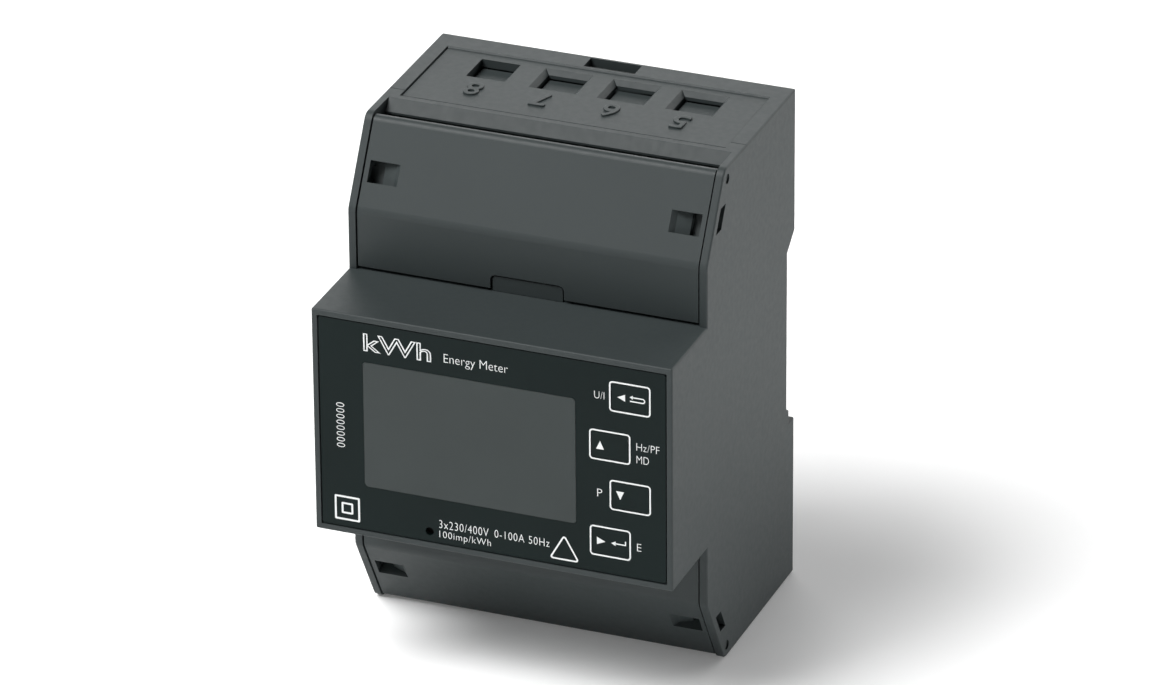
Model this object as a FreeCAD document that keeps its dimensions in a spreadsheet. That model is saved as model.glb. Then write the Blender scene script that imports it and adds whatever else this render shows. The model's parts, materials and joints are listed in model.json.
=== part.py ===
import FreeCAD
import Part
import os
import re
import Sketcher

from FreeCAD import Placement, Rotation, Vector

# Four-module electricity meter for a 35 mm top-hat rail.
# Frame: X to the right, Y to the back, Z up, origin at the centre of the bottom.
# The housing is symmetric about half its height, so what sits above and below
# the nose is made by the same functions, with side = +1 (upper) or -1 (lower).

# Driving dimensions in millimetres and degrees.
# "_depth" is measured backwards from the front of the nose, "_rise" up or down
# from half the height, and "_drop" inwards from the top or bottom face.
DIMENSIONS = {
    # housing
    "width": 70.0,
    "height": 100.0,
    "depth": 63.5,
    "wall": 1.5,
    "end_wall": 1.8,
    "front_wall": 2.4,
    "nose_rise": 22.5,
    "cheek_depth": 17.66,
    "bend_rise": 34.5,
    "cover_angle": 60.0,
    "bend_round": 2.8,
    "pivot_round": 2.3,
    "edge_round": 0.35,
    "band_depth": 32.2,
    "top_depth": 34.2,
    "lip_drop": 2.4,
    "lip_thick": 0.6,
    "band_drop": 2.0,
    "nose_wall_depth": 28.4,
    "notch_half": 5.05,
    "notch_depth": 59.15,
    "notch_rim": 0.5,
    "notch_well": 5.0,
    "parting_depth": 37.9,
    "parting_width": 0.15,
    "parting_sink": 0.12,
    "pivot_hole_radius": 0.93,
    "slot_near_depth": 22.1,
    "slot_near_rise": 39.0,
    "slot_width": 2.6,
    "slot_rise": 4.2,
    # rail seat
    "rail_depth": 59.6,
    "rail_top": 68.3,
    "rail_chamfer_top": 71.5,
    "rail_bottom": 32.5,
    "rail_step_depth": 60.76,
    "rail_step_top": 35.9,
    "rail_hook_depth": 61.15,
    "rail_hook_drop": 1.9,
    "rail_hook_half": 28.0,
    "base_wall": 2.0,
    "base_gap": 0.15,
    "base_screw_side": 29.7,
    "base_screw_rise": 39.0,
    "base_screw_radius": 1.45,
    "base_screw_head": 2.6,
    # terminal blocks
    "panel_half": 31.6,
    "panel_front_depth": 36.2,
    "panel_back_depth": 58.4,
    "panel_gap": 0.24,
    "panel_front_gap": 0.75,
    "panel_rear_gap": 0.03,
    "panel_drop": 0.3,
    "panel_bevel": 0.28,
    "block_front_depth": 26.5,
    "block_plate": 2.2,
    "block_front_drop": 5.4,
    "block_inner_rise": 34.0,
    "block_back_depth": 61.3,
    "block_end_depth": 58.4,
    "block_end_half": 26.2,
    "pole_pitch": 13.4,
    "entry_front_depth": 47.75,
    "entry_back_depth": 56.55,
    "entry_half": 4.7,
    "entry_lead": 0.9,
    "neutral_half": 3.85,
    "neutral_inset": 0.45,
    # terminals
    "cage_half": 5.2,
    "neutral_cage_half": 4.7,
    "cage_gap": 0.2,
    "cage_front_depth": 36.5,
    "cage_nut": 3.0,
    "cage_rise": 36.2,
    "cage_height": 9.4,
    "cage_wall": 1.2,
    "cage_back_depth": 49.0,
    "flap_gap": 0.35,
    "flap_drop": 2.1,
    "screw_rise": 40.9,
    "screw_radius": 2.5,
    "thread_gap": 0.06,
    "screw_head_radius": 3.2,
    "screw_head_depth": 28.0,
    "screw_head": 3.3,
    "bar_front_depth": 45.5,
    "bar_thick": 2.0,
    "bar_half": 3.9,
    "bar_neck_half": 2.2,
    "bar_neck_rise": 18.0,
    "bar_rise": 45.4,
    # covers
    "cover_gap": 0.3,
    "cover_inset": 0.2,
    "cover_wall": 1.6,
    "cover_lip_rise": 23.15,
    "barrel_radius": 1.5,
    "peg_radius": 0.87,
    "peg_reach": 1.3,
    "pocket_inner": 26.4,
    "pocket_outer": 32.3,
    "pocket_rise": 40.9,
    "pocket_length": 4.1,
    "pocket_bevel": 0.9,
    "pocket_ramp": 3.5,
    "pocket_step": 1.8,
    "pocket_deep": 3.2,
    "finger_half": 7.2,
    "finger_rise": 2.75,
    "finger_corner": 1.1,
    "finger_gap": 0.35,
    "finger_recess": 0.3,
    "finger_backing": 0.8,
    # front
    "plate_half": 33.65,
    "plate_rise": 21.1,
    "plate_gap": 0.25,
    "plate_inset": 0.15,
    "plate_thick": 0.6,
    "plate_corner": 0.5,
    "screen_centre": -4.43,
    "screen_half": 20.67,
    "screen_low": 37.9,
    "screen_high": 63.25,
    "screen_gap": 0.06,
    "screen_corner": 0.75,
    "key_right": 26.8,
    "key_left": 22.9,
    "key_back_height": 65.05,
    "key_up_height": 54.8,
    "key_down_height": 45.1,
    "key_enter_height": 35.25,
    "key_half": 3.56,
    "key_half_height": 2.64,
    "key_gap": 0.12,
    "key_corner": 0.3,
    "key_flange": 0.6,
    "led_across": -12.48,
    "led_height": 30.91,
    "led_radius": 0.82,
    "led_dome_radius": 1.5,
    "led_rim_radius": 1.9,
    "led_depth": 6.6,
    "led_rim_depth": 7.6,
    "pipe_depth": 1.1,
    "pipe_length": 3.6,
    "pipe_collar": 0.9,
    "mat_left": 19.2,
    "mat_right": 28.9,
    "mat_low": 31.0,
    "mat_high": 69.0,
    "mat_depth": 7.3,
    "dome_depth": 4.3,
    "dome_height": 3.2,
    "dome_tip_radius": 1.4,
    "dome_foot_radius": 2.6,
    "dome_right": 26.2,
    # display stack
    "cell_left": 22.6,
    "cell_right": 22.0,
    "cell_low": 35.2,
    "cell_high": 66.2,
    "cell_back_depth": 5.2,
    "light_left": 22.0,
    "light_right": 21.6,
    "light_low": 35.6,
    "light_high": 63.4,
    "light_depth": 5.3,
    "frame_wall": 1.0,
    "frame_left": 23.8,
    "frame_right": 22.85,
    "frame_low": 34.0,
    "frame_high": 67.4,
    "zebra_left": 20.0,
    "zebra_right": 16.0,
    "zebra_low": 63.9,
    "zebra_high": 65.9,
    # boards
    "board_thick": 1.6,
    "display_board_depth": 8.2,
    "main_board_depth": 26.0,
    "board_half": 32.6,
    "board_rise": 20.4,
    "spacer_side": 31.0,
    "spacer_low": 32.5,
    "spacer_high_left": 67.0,
    "spacer_high_right": 56.5,
    "spacer_radius": 1.8,
    "stud_radius": 0.95,
    "board_screw_radius": 1.0,
    "board_screw_head": 1.9,
    # current transformers
    "ring_radius": 9.5,
    "ring_bore": 4.2,
    "ring_height": 9.0,
    "ring_stagger": 8.5,
    # rail clip
    "clip_depth": 61.7,
    "clip_thick": 1.1,
    "clip_gap": 0.12,
    "clip_stem_half": 4.7,
    "clip_head_half": 12.0,
    "clip_head_low": 26.0,
    "clip_top": 34.4,
    "clip_hook_depth": 61.15,
    "clip_window_half": 1.7,
    "clip_window_low": 15.2,
    "clip_window_high": 25.4,
    "carrier_half": 14.0,
    "carrier_depth": 60.65,
    "carrier_step": 14.5,
    "carrier_deep_depth": 58.6,
    "spring_radius": 1.1,
    "spring_wire": 0.2,
    # communication terminals
    "comms_half": 11.6,
    "comms_depth": 20.3,
    "comms_back_depth": 25.8,
    "comms_low": 18.6,
    "comms_high": 30.4,
    "comms_pitch": 3.81,
    "comms_screw_height": 22.6,
    "comms_screw_radius": 1.25,
    "comms_entry_half": 1.3,
}

ALIAS = re.compile(r"[a-z][a-z_]+")
PHASES = (1, 2, 3)
POLES = (-1.5, -0.5, 0.5, 1.5)
NEUTRAL_POLE = -1.5

doc = FreeCAD.newDocument("meter")
nodes = []


def make_sheet():
    sheet = doc.addObject("Spreadsheet::Sheet", "Dims")
    for row, (alias, value) in enumerate(DIMENSIONS.items(), start=1):
        sheet.set(f"A{row}", alias)
        sheet.set(f"B{row}", str(value))
        sheet.setAlias(f"B{row}", alias)
    doc.recompute()
    return sheet


dims = make_sheet()


# ---------------------------------------------------------------- formulas

def formula(text):
    """Turn bare dimension names into references to the sheet's cells."""
    return ALIAS.sub(lambda word: "Dims." + word.group() if word.group() in DIMENSIONS
                     else word.group(), str(text))


def value(text):
    return float(dims.evalExpression(formula(text)))


def bind(thing, name, text):
    thing.setExpression(name, formula(text))


def back(text):
    """Y of a place given by its depth behind the front of the nose."""
    return f"({text}) - depth / 2"


def facing(text):
    """Offset of a sketch on XZ_Plane, whose normal is -Y, for a given depth."""
    return f"depth / 2 - ({text})"


def rise(side, text):
    """Z of a place given by its distance from half the height."""
    return f"height / 2 + {side} * ({text})"


def drop(side, text):
    """Z of a place given by its distance inside the top or bottom face."""
    return f"height / 2 + {side} * (height / 2 - ({text}))"


# ---------------------------------------------------------------- sketches

def rectangle(u0, u1, v0, v1):
    return [(u0, v0), (u1, v0), (u1, v1), (u0, v1)]


def draw_polygon(sketch, corners):
    """Closed outline whose corners are each bound to a pair of formulas."""
    places = [Vector(value(u), value(v), 0) for u, v in corners]
    first = sketch.GeometryCount
    count = len(corners)
    for i in range(count):
        sketch.addGeometry(Part.LineSegment(places[i], places[(i + 1) % count]), False)
    for i in range(count):
        sketch.addConstraint(Sketcher.Constraint("Coincident", first + i, 2, first + (i + 1) % count, 1))
    for i, (u, v) in enumerate(corners):
        across = sketch.addConstraint(Sketcher.Constraint("DistanceX", first + i, 1, places[i].x))
        bind(sketch, f"Constraints[{across}]", u)
        along = sketch.addConstraint(Sketcher.Constraint("DistanceY", first + i, 1, places[i].y))
        bind(sketch, f"Constraints[{along}]", v)


def draw_circle(sketch, u, v, radius):
    centre = Vector(value(u), value(v), 0)
    circle = sketch.addGeometry(Part.Circle(centre, Vector(0, 0, 1), value(radius)), False)
    size = sketch.addConstraint(Sketcher.Constraint("Radius", circle, value(radius)))
    bind(sketch, f"Constraints[{size}]", radius)
    across = sketch.addConstraint(Sketcher.Constraint("DistanceX", circle, 3, centre.x))
    bind(sketch, f"Constraints[{across}]", u)
    along = sketch.addConstraint(Sketcher.Constraint("DistanceY", circle, 3, centre.y))
    bind(sketch, f"Constraints[{along}]", v)


def make_sketch(body, role, offset="0", polygons=(), circles=()):
    """Sketch on one of the body's own origin planes, moved along its normal.

    The normal of XY_Plane is +Z, of XZ_Plane -Y and of YZ_Plane +X.
    """
    sketch = body.newObject("Sketcher::SketchObject", "Sketch")
    planes = [item for item in body.Origin.OriginFeatures if item.Role == role]
    sketch.AttachmentSupport = [(planes[0], "")]
    sketch.MapMode = "FlatFace"
    bind(sketch, "AttachmentOffset.Base.z", offset)
    for corners in polygons:
        draw_polygon(sketch, corners)
    for u, v, radius in circles:
        draw_circle(sketch, u, v, radius)
    return sketch


def make_body(label):
    body = doc.addObject("PartDesign::Body", label)
    body.Label = label
    nodes.append(body)
    return body


def extrude(body, kind, sketch, length, mode="One side", reverse=False):
    feature = body.newObject("PartDesign::" + kind, kind)
    feature.Profile = sketch
    feature.SideType = mode
    feature.Reversed = reverse
    bind(feature, "Length", length)
    doc.recompute()
    return feature


def pad(body, sketch, length, mode="One side", reverse=False):
    return extrude(body, "Pad", sketch, length, mode, reverse)


def pocket(body, sketch, length, mode="One side", reverse=False):
    return extrude(body, "Pocket", sketch, length, mode, reverse)


def dress(body, kind, size_name, size, wanted):
    """Fillet or chamfer every edge of the body whose box passes the test."""
    tip = body.Tip
    names = []
    for number, edge in enumerate(tip.Shape.Edges, start=1):
        if wanted(edge.BoundBox):
            names.append(f"Edge{number}")
    if not names:
        raise RuntimeError(f"{body.Label}: no edge to dress")
    feature = body.newObject("PartDesign::" + kind, kind)
    feature.Base = (tip, names)
    bind(feature, size_name, size)
    doc.recompute()
    if "Invalid" in feature.State:
        raise RuntimeError(f"{body.Label}: {kind} of {size} failed")
    return feature


def fillet(body, radius, wanted):
    return dress(body, "Fillet", "Radius", radius, wanted)


def chamfer(body, size, wanted):
    return dress(body, "Chamfer", "Size", size, wanted)


def runs_across(box, y, z, reach=0.05):
    """True for an edge along X at the given Y and Z."""
    level = box.YLength < reach and box.ZLength < reach
    return level and abs(box.YMin - y) < reach and abs(box.ZMin - z) < reach


# ---------------------------------------------------------------- primitives

def keep(thing, label):
    thing.Label = label
    nodes.append(thing)
    return thing


def block(name, x0, x1, y0, y1, z0, z1):
    """Box between bounds that are formulas."""
    box = doc.addObject("Part::Box", name)
    bounds = (("x", "Length", x0, x1), ("y", "Width", y0, y1), ("z", "Height", z0, z1))
    for axis, size, low, high in bounds:
        bind(box, "Placement.Base." + axis, low)
        bind(box, size, f"({high}) - ({low})")
    return box


def rod(name, direction, at, radius, length):
    """Cylinder from the place at, a triple of formulas, along +X, +Y or +Z."""
    cylinder = doc.addObject("Part::Cylinder", name)
    cylinder.Placement = Placement(Vector(), Rotation(Vector(0, 0, 1), direction))
    for axis, text in zip("xyz", at):
        bind(cylinder, "Placement.Base." + axis, text)
    bind(cylinder, "Radius", radius)
    bind(cylinder, "Height", length)
    return cylinder


ALONG_X = Vector(1, 0, 0)
ALONG_Y = Vector(0, 1, 0)
ALONG_Z = Vector(0, 0, 1)


def join(name, things):
    fused = doc.addObject("Part::MultiFuse", name)
    fused.Shapes = things
    return fused


def minus(name, base, tools):
    cut = doc.addObject("Part::Cut", name)
    cut.Base = base
    cut.Tool = tools[0] if len(tools) == 1 else join(name + "_tools", tools)
    return cut


def pole_x(pole):
    return f"{pole} * pole_pitch"


def half_of(pole, phase_size, neutral_size):
    return neutral_size if pole == NEUTRAL_POLE else phase_size


def entry_throat(pole):
    """Half width of a wire entry's throat, and its inset from the entry's outline."""
    if pole == NEUTRAL_POLE:
        return "neutral_half", "neutral_inset"
    return "entry_half - entry_lead", "entry_lead"


# ---------------------------------------------------------------- housing

def add_main_housing():
    """One-piece shell: nose, side cheeks, top and bottom walls."""
    body = make_body("main_housing")
    slope = "tan(cover_angle)"
    corner_depth = f"cheek_depth + (height / 2 - bend_rise) / {slope}"

    def half_outline(side):
        return [
            (back("0"), rise(side, "nose_rise")),
            (back("cheek_depth"), rise(side, "nose_rise")),
            (back("cheek_depth"), rise(side, "bend_rise")),
            (back(corner_depth), drop(side, "0")),
            (back("depth"), drop(side, "0")),
        ]

    rail = [
        (back("depth"), "rail_chamfer_top"),
        (back("rail_depth"), "rail_top"),
        (back("rail_depth"), "rail_step_top"),
        (back("rail_step_depth"), "rail_step_top - 0.6"),
        (back("rail_step_depth"), "rail_bottom"),
        (back("depth"), "rail_bottom"),
    ]
    outline = half_outline(1) + rail + half_outline(-1)[::-1]
    pad(body, make_sketch(body, "YZ_Plane", polygons=[outline]), "width", "Symmetric")

    for side in (1, -1):
        fillet(body, "bend_round", lambda box, side=side: runs_across(
            box, value(back("cheek_depth")), value(rise(side, "bend_rise"))))
        fillet(body, "pivot_round", lambda box, side=side: runs_across(
            box, value(back(corner_depth)), value(drop(side, "0"))))
    half = value("width / 2")
    front_edge = value(back("0"))
    nose_levels = [value(rise(side, "nose_rise")) for side in (1, -1)]

    def outer_edge(box):
        on_side = box.XLength < 0.01 and abs(abs(box.XMin) - half) < 0.01
        return on_side or any(runs_across(box, front_edge, level) for level in nose_levels)

    fillet(body, "edge_round", outer_edge)

    def half_hollow(side):
        """Inner side of the end wall and the space in front of the terminals."""
        return [
            (back("depth + 3"), drop(side, "end_wall")),
            (back("top_depth + lip_thick"), drop(side, "end_wall")),
            (back("top_depth + lip_thick"), drop(side, "lip_drop")),
            (back("band_depth"), drop(side, "lip_drop")),
            (back("band_depth"), drop(side, "band_drop")),
            (back("top_depth"), drop(side, "0")),
            (back("top_depth"), drop(side, "-3")),
            (back("cheek_depth - 5"), drop(side, "-3")),
            (back("cheek_depth - 5"), rise(side, "nose_rise")),
            (back("nose_wall_depth"), rise(side, "nose_rise")),
            (back("nose_wall_depth"), rise(side, "nose_rise - wall")),
            (back("front_wall"), rise(side, "nose_rise - wall")),
        ]

    hollow = half_hollow(1) + half_hollow(-1)[::-1]
    pocket(body, make_sketch(body, "YZ_Plane", polygons=[hollow]), "width - 2 * wall", "Symmetric")

    seat = rectangle("-(plate_half + plate_gap)", "plate_half + plate_gap",
                     rise(-1, "plate_rise + plate_gap"), rise(1, "plate_rise + plate_gap"))
    pocket(body, make_sketch(body, "XZ_Plane", facing("0"), polygons=[seat]),
           "plate_inset + plate_thick + 0.05")

    screen = rectangle("screen_centre - screen_half - 0.5", "screen_centre + screen_half + 0.5",
                       "screen_low - 0.5", "screen_high + 0.5")
    keys = []
    for x, z in key_centres():
        keys.append(rectangle(f"{x} - key_half - key_gap", f"{x} + key_half + key_gap",
                              f"{z} - key_half_height - key_gap", f"{z} + key_half_height + key_gap"))
    windows = make_sketch(body, "XZ_Plane", facing("0"), polygons=[screen] + keys,
                          circles=[("led_across", "led_height", "led_radius + 0.25")])
    pocket(body, windows, "front_wall + 1")

    slots = []
    lean = f"slot_rise / {slope}"
    for side in (1, -1):
        near = rise(side, "slot_near_rise")
        far = rise(side, "slot_near_rise + slot_rise")
        slots.append([
            (back("slot_near_depth"), near),
            (back("slot_near_depth + slot_width"), near),
            (back(f"slot_near_depth + slot_width + {lean}"), far),
            (back(f"slot_near_depth + {lean}"), far),
        ])
    pivots = [(pivot_y(), pivot_z(side), "pivot_hole_radius") for side in (1, -1)]
    pocket(body, make_sketch(body, "YZ_Plane", polygons=slots, circles=pivots), "width + 2", "Symmetric")

    window = rectangle("-(panel_half + panel_gap)", "panel_half + panel_gap",
                       back("panel_front_depth - panel_front_gap"), back("panel_back_depth + panel_rear_gap"))
    pocket(body, make_sketch(body, "XY_Plane", "height / 2", polygons=[window]), "height + 2", "Symmetric")
    rear_edge = value(back("panel_back_depth + panel_rear_gap"))
    for side in (1, -1):
        chamfer(body, "panel_bevel", lambda box, side=side: runs_across(
            box, rear_edge, value(drop(side, "0")), 0.01))
    for side, rear in ((1, "depth - notch_rim"), (-1, "depth + 1")):
        notch = rectangle("-notch_half", "notch_half", back("notch_depth"), back(rear))
        pocket(body, make_sketch(body, "XY_Plane", drop(side, "0"), polygons=[notch]), "end_wall + 1",
               reverse=side < 0)
        grooves = [rectangle(near, far, back("parting_depth"), back("parting_depth + parting_width"))
                   for near, far in (("-width", "-panel_half"), ("panel_half", "width"))]
        pocket(body, make_sketch(body, "XY_Plane", drop(side, "0"), polygons=grooves), "parting_sink",
               reverse=side < 0)

    comms = rectangle("-(comms_half + 0.5)", "comms_half + 0.5", back("comms_depth - 0.5"),
                      back("nose_wall_depth + 1"))
    pocket(body, make_sketch(body, "XY_Plane", rise(-1, "nose_rise - wall - 0.5"), polygons=[comms]),
           "wall + 1")

    bosses = [(x, z, "spacer_radius + 0.05") for x, z in spacer_places()]
    pad(body, make_sketch(body, "XZ_Plane", facing("display_board_depth"), circles=bosses),
        "display_board_depth - front_wall + 0.2")
    holes = [(x, z, "1.0") for x, z in spacer_places()]
    pocket(body, make_sketch(body, "XZ_Plane", facing("display_board_depth"), circles=holes), "5",
           reverse=True)


def pivot_y():
    return back("cheek_depth + (height / 2 - bend_rise) / tan(cover_angle)"
                " + pivot_round * tan(cover_angle / 2)")


def pivot_z(side):
    return drop(side, "pivot_round")


def key_centres():
    """Keys are staggered: the first and third stand further right."""
    return [
        ("key_right", "key_back_height"),
        ("key_left", "key_up_height"),
        ("key_right", "key_down_height"),
        ("key_left", "key_enter_height"),
    ]


def spacer_places():
    return [
        ("-spacer_side", "spacer_high_left"),
        ("-spacer_side", "spacer_low"),
        ("spacer_side", "spacer_high_right"),
        ("spacer_side", "spacer_low"),
    ]


def add_rear_base():
    """Back shell with the rail seat, its fixed hook and the clip's channel."""
    body = make_body("rear_base")
    inner = "width / 2 - wall - base_gap"
    wall_outline = [
        (back("depth"), drop(1, "end_wall + base_gap")),
        (back("depth"), "rail_chamfer_top"),
        (back("rail_depth"), "rail_top"),
        (back("rail_depth"), "rail_bottom"),
        (back("depth"), "rail_bottom"),
        (back("depth"), drop(-1, "end_wall + base_gap")),
        (back("depth - base_wall"), drop(-1, "end_wall + base_gap")),
        (back("depth - base_wall"), "rail_bottom - base_wall"),
        (back("rail_depth - base_wall"), "rail_bottom - base_wall"),
        (back("rail_depth - base_wall"), "rail_top + 0.9"),
        (back("depth - base_wall"), "rail_chamfer_top + 0.9"),
        (back("depth - base_wall"), drop(1, "end_wall + base_gap")),
    ]
    pad(body, make_sketch(body, "YZ_Plane", polygons=[wall_outline]), f"2 * ({inner})", "Symmetric")

    hook = [
        (back("depth"), "rail_chamfer_top + 0.5"),
        (back("depth"), "rail_top - rail_hook_drop + 0.7"),
        (back("depth - 0.7"), "rail_top - rail_hook_drop"),
        (back("rail_hook_depth"), "rail_top - rail_hook_drop"),
        (back("rail_hook_depth"), "rail_top + 0.6"),
        (back("depth - base_wall / 2"), "rail_chamfer_top + 0.5"),
    ]
    pad(body, make_sketch(body, "YZ_Plane", polygons=[hook]), "2 * rail_hook_half", "Symmetric")

    floor = drop(-1, "end_wall + base_gap")
    for depth, low in (("carrier_depth", floor), ("carrier_deep_depth", "carrier_step")):
        carrier = rectangle("-carrier_half", "carrier_half", low, "rail_bottom")
        pad(body, make_sketch(body, "XZ_Plane", facing(depth), polygons=[carrier]),
            f"depth - ({depth})", reverse=True)
    channels = ((rectangle("-notch_half", "notch_half", "0", "22"), "depth - clip_depth + clip_gap"),
                (rectangle("-(clip_head_half + 0.2)", "clip_head_half + 0.2", "21", "rail_bottom + 1"),
                 "depth - clip_hook_depth + clip_gap"),
                (rectangle("-1.6", "1.6", "clip_window_low + 0.5", "clip_window_high + 0.5"),
                 "depth - clip_depth + 1.3"))
    for channel, length in channels:
        pocket(body, make_sketch(body, "XZ_Plane", facing("depth"), polygons=[channel]), length,
               reverse=True)
    strap = rectangle("-(notch_half + 0.5)", "notch_half + 0.5", "4", "10")
    pad(body, make_sketch(body, "XZ_Plane", facing("depth"), polygons=[strap]),
        "depth - clip_depth - clip_thick - clip_gap")
    peg = rectangle("-1.2", "1.2", "clip_window_low + 0.9", "clip_window_low + 2.2")
    pad(body, make_sketch(body, "XZ_Plane", facing("clip_depth - 1.5"), polygons=[peg]), "3", reverse=True)

    well = rectangle("-notch_half", "notch_half", back("depth - base_wall - 1"), back("depth - notch_rim"))
    pocket(body, make_sketch(body, "XY_Plane", drop(1, "0"), polygons=[well]), "end_wall + notch_well")

    places = housing_screw_places()
    bosses = [(x, z, "base_screw_head + 0.7") for x, z in places]
    pad(body, make_sketch(body, "XZ_Plane", facing("depth - 5"), circles=bosses), "4.9", reverse=True)
    recesses = [(x, z, "base_screw_head + 0.2") for x, z in places]
    pocket(body, make_sketch(body, "XZ_Plane", facing("depth"), circles=recesses), "2.7", reverse=True)
    shanks = [(x, z, "base_screw_radius + 0.2") for x, z in places]
    pocket(body, make_sketch(body, "XZ_Plane", facing("depth"), circles=shanks), "6", reverse=True)


def housing_screw_places():
    return [(x, rise(side, "base_screw_rise")) for side in (1, -1)
            for x in ("-base_screw_side", "base_screw_side")]


def add_housing_screws():
    screws = []
    for number, (x, z) in enumerate(housing_screw_places(), start=1):
        head = rod(f"base_screw_head_{number}", ALONG_Y, (x, back("depth - 2.65"), z), "base_screw_head",
                   "1.9")
        shank = rod(f"base_screw_shank_{number}", ALONG_Y, (x, back("depth - 12.6"), z), "base_screw_radius",
                    "10")
        recess = []
        for name, wide, high in (("level", 1.7, 0.35), ("upright", 0.35, 1.7)):
            recess.append(block(f"base_screw_cross_{number}_{name}", f"{x} - {wide}", f"{x} + {wide}",
                                back("depth - 1.6"), back("depth"), f"{z} - {high}", f"{z} + {high}"))
        solid = join(f"base_screw_solid_{number}", [head, shank])
        screws.append(minus(f"base_screw_{number}", solid, recess))
    group = doc.addObject("Part::Compound", "housing_screws")
    group.Links = screws
    keep(group, "housing_screws")


# ---------------------------------------------------------------- terminal blocks

def add_terminal_block(side, label):
    """Insulating block with four terminal chambers, flush with the end face."""
    body = make_body(label)
    top = drop(side, "end_wall + base_gap")
    outline = [
        (back("block_front_depth"), rise(side, "nose_rise + 0.4")),
        (back("block_front_depth"), drop(side, "block_front_drop")),
        (back("top_depth + lip_thick + base_gap"), drop(side, "block_front_drop")),
        (back("top_depth + lip_thick + base_gap"), top),
        (back("block_back_depth"), top),
        (back("block_back_depth"), rise(side, "block_inner_rise")),
        (back("block_front_depth + block_plate"), rise(side, "block_inner_rise")),
        (back("block_front_depth + block_plate"), rise(side, "nose_rise + 0.4")),
    ]
    pad(body, make_sketch(body, "YZ_Plane", polygons=[outline]), "2 * (width / 2 - wall - base_gap)",
        "Symmetric")

    reach = "width / 2"
    relief = [rectangle(f"-({reach})", "-block_end_half", back("block_end_depth"), back("depth")),
              rectangle("block_end_half", reach, back("block_end_depth"), back("depth"))]
    pocket(body, make_sketch(body, "XY_Plane", "height / 2", polygons=relief), "height", "Symmetric")

    if side > 0:
        well = rectangle("-notch_half", "notch_half", back("notch_depth"), back("depth"))
        pocket(body, make_sketch(body, "XY_Plane", drop(1, "0"), polygons=[well]), "end_wall + notch_well")
    else:
        for depth, low in (("carrier_depth", "0"), ("carrier_deep_depth", "carrier_step")):
            room = rectangle("-(carrier_half + 0.2)", "carrier_half + 0.2", f"{low} - 0.4", "rail_bottom")
            pocket(body, make_sketch(body, "XZ_Plane", facing(f"{depth} - 0.1"), polygons=[room]), "5")

    panel = rectangle("-panel_half", "panel_half", back("panel_front_depth"), back("panel_back_depth"))
    pad(body, make_sketch(body, "XY_Plane", drop(side, "panel_drop"), polygons=[panel]),
        "end_wall + 0.5", reverse=side > 0)

    chambers = []
    bar_slots = []
    entries = []
    heads = []
    shanks = []
    for pole in POLES:
        x = pole_x(pole)
        half = half_of(pole, "cage_half", "neutral_cage_half")
        wide = f"({half} + cage_gap)"
        chambers.append(rectangle(f"{x} - {wide}", f"{x} + {wide}",
                                  rise(side, "cage_rise - 0.3"), drop(side, "flap_drop - 0.2")))
        bar_slots.append(rectangle(f"{x} - bar_half - 0.3", f"{x} + bar_half + 0.3",
                                   back("bar_front_depth - 0.25"),
                                   back("bar_front_depth + bar_thick + 0.25")))
        throat, inset = entry_throat(pole)
        entries.append(rectangle(f"{x} - ({throat})", f"{x} + ({throat})",
                                 back(f"entry_front_depth + {inset}"), back(f"entry_back_depth - {inset}")))
        heads.append((x, rise(side, "screw_rise"), "screw_head_radius + 0.3"))
        shanks.append((x, rise(side, "screw_rise"), "screw_radius + 0.2"))
    pocket(body, make_sketch(body, "XZ_Plane", facing("block_back_depth"), polygons=chambers),
           "block_back_depth - cage_front_depth + 0.3", reverse=True)
    pocket(body, make_sketch(body, "XY_Plane", rise(side, "block_inner_rise - 1"), polygons=bar_slots),
           "cage_rise - block_inner_rise + 1.5", reverse=side > 0)
    pocket(body, make_sketch(body, "XY_Plane", drop(side, "0"), polygons=entries), "3", reverse=side < 0)
    pocket(body, make_sketch(body, "XZ_Plane", facing("block_front_depth - 0.5"), circles=heads),
           "screw_head_depth + screw_head + 0.2 - block_front_depth + 0.5")
    pocket(body, make_sketch(body, "XZ_Plane", facing("block_front_depth"), circles=shanks), "12")

    pilots = [(f"{hand} * base_screw_side", rise(side, "base_screw_rise"), "base_screw_radius + 0.05")
              for hand in (-1, 1)]
    pocket(body, make_sketch(body, "XZ_Plane", facing("block_end_depth"), circles=pilots), "12",
           reverse=True)

    level = value(drop(side, "panel_drop"))
    phase_half = value("entry_half")

    def lead_in(box):
        on_panel = box.ZLength < 0.01 and abs(box.ZMin - level) < 0.01
        inside = box.YMin > value(back("entry_front_depth")) and box.YMax < value(back("entry_back_depth"))
        phase = any(abs(0.5 * (box.XMin + box.XMax) - value(pole_x(pole))) < phase_half + 0.05
                    for pole in POLES if pole != NEUTRAL_POLE)
        return on_panel and inside and phase

    chamfer(body, "entry_lead", lead_in)


# ---------------------------------------------------------------- covers

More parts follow.
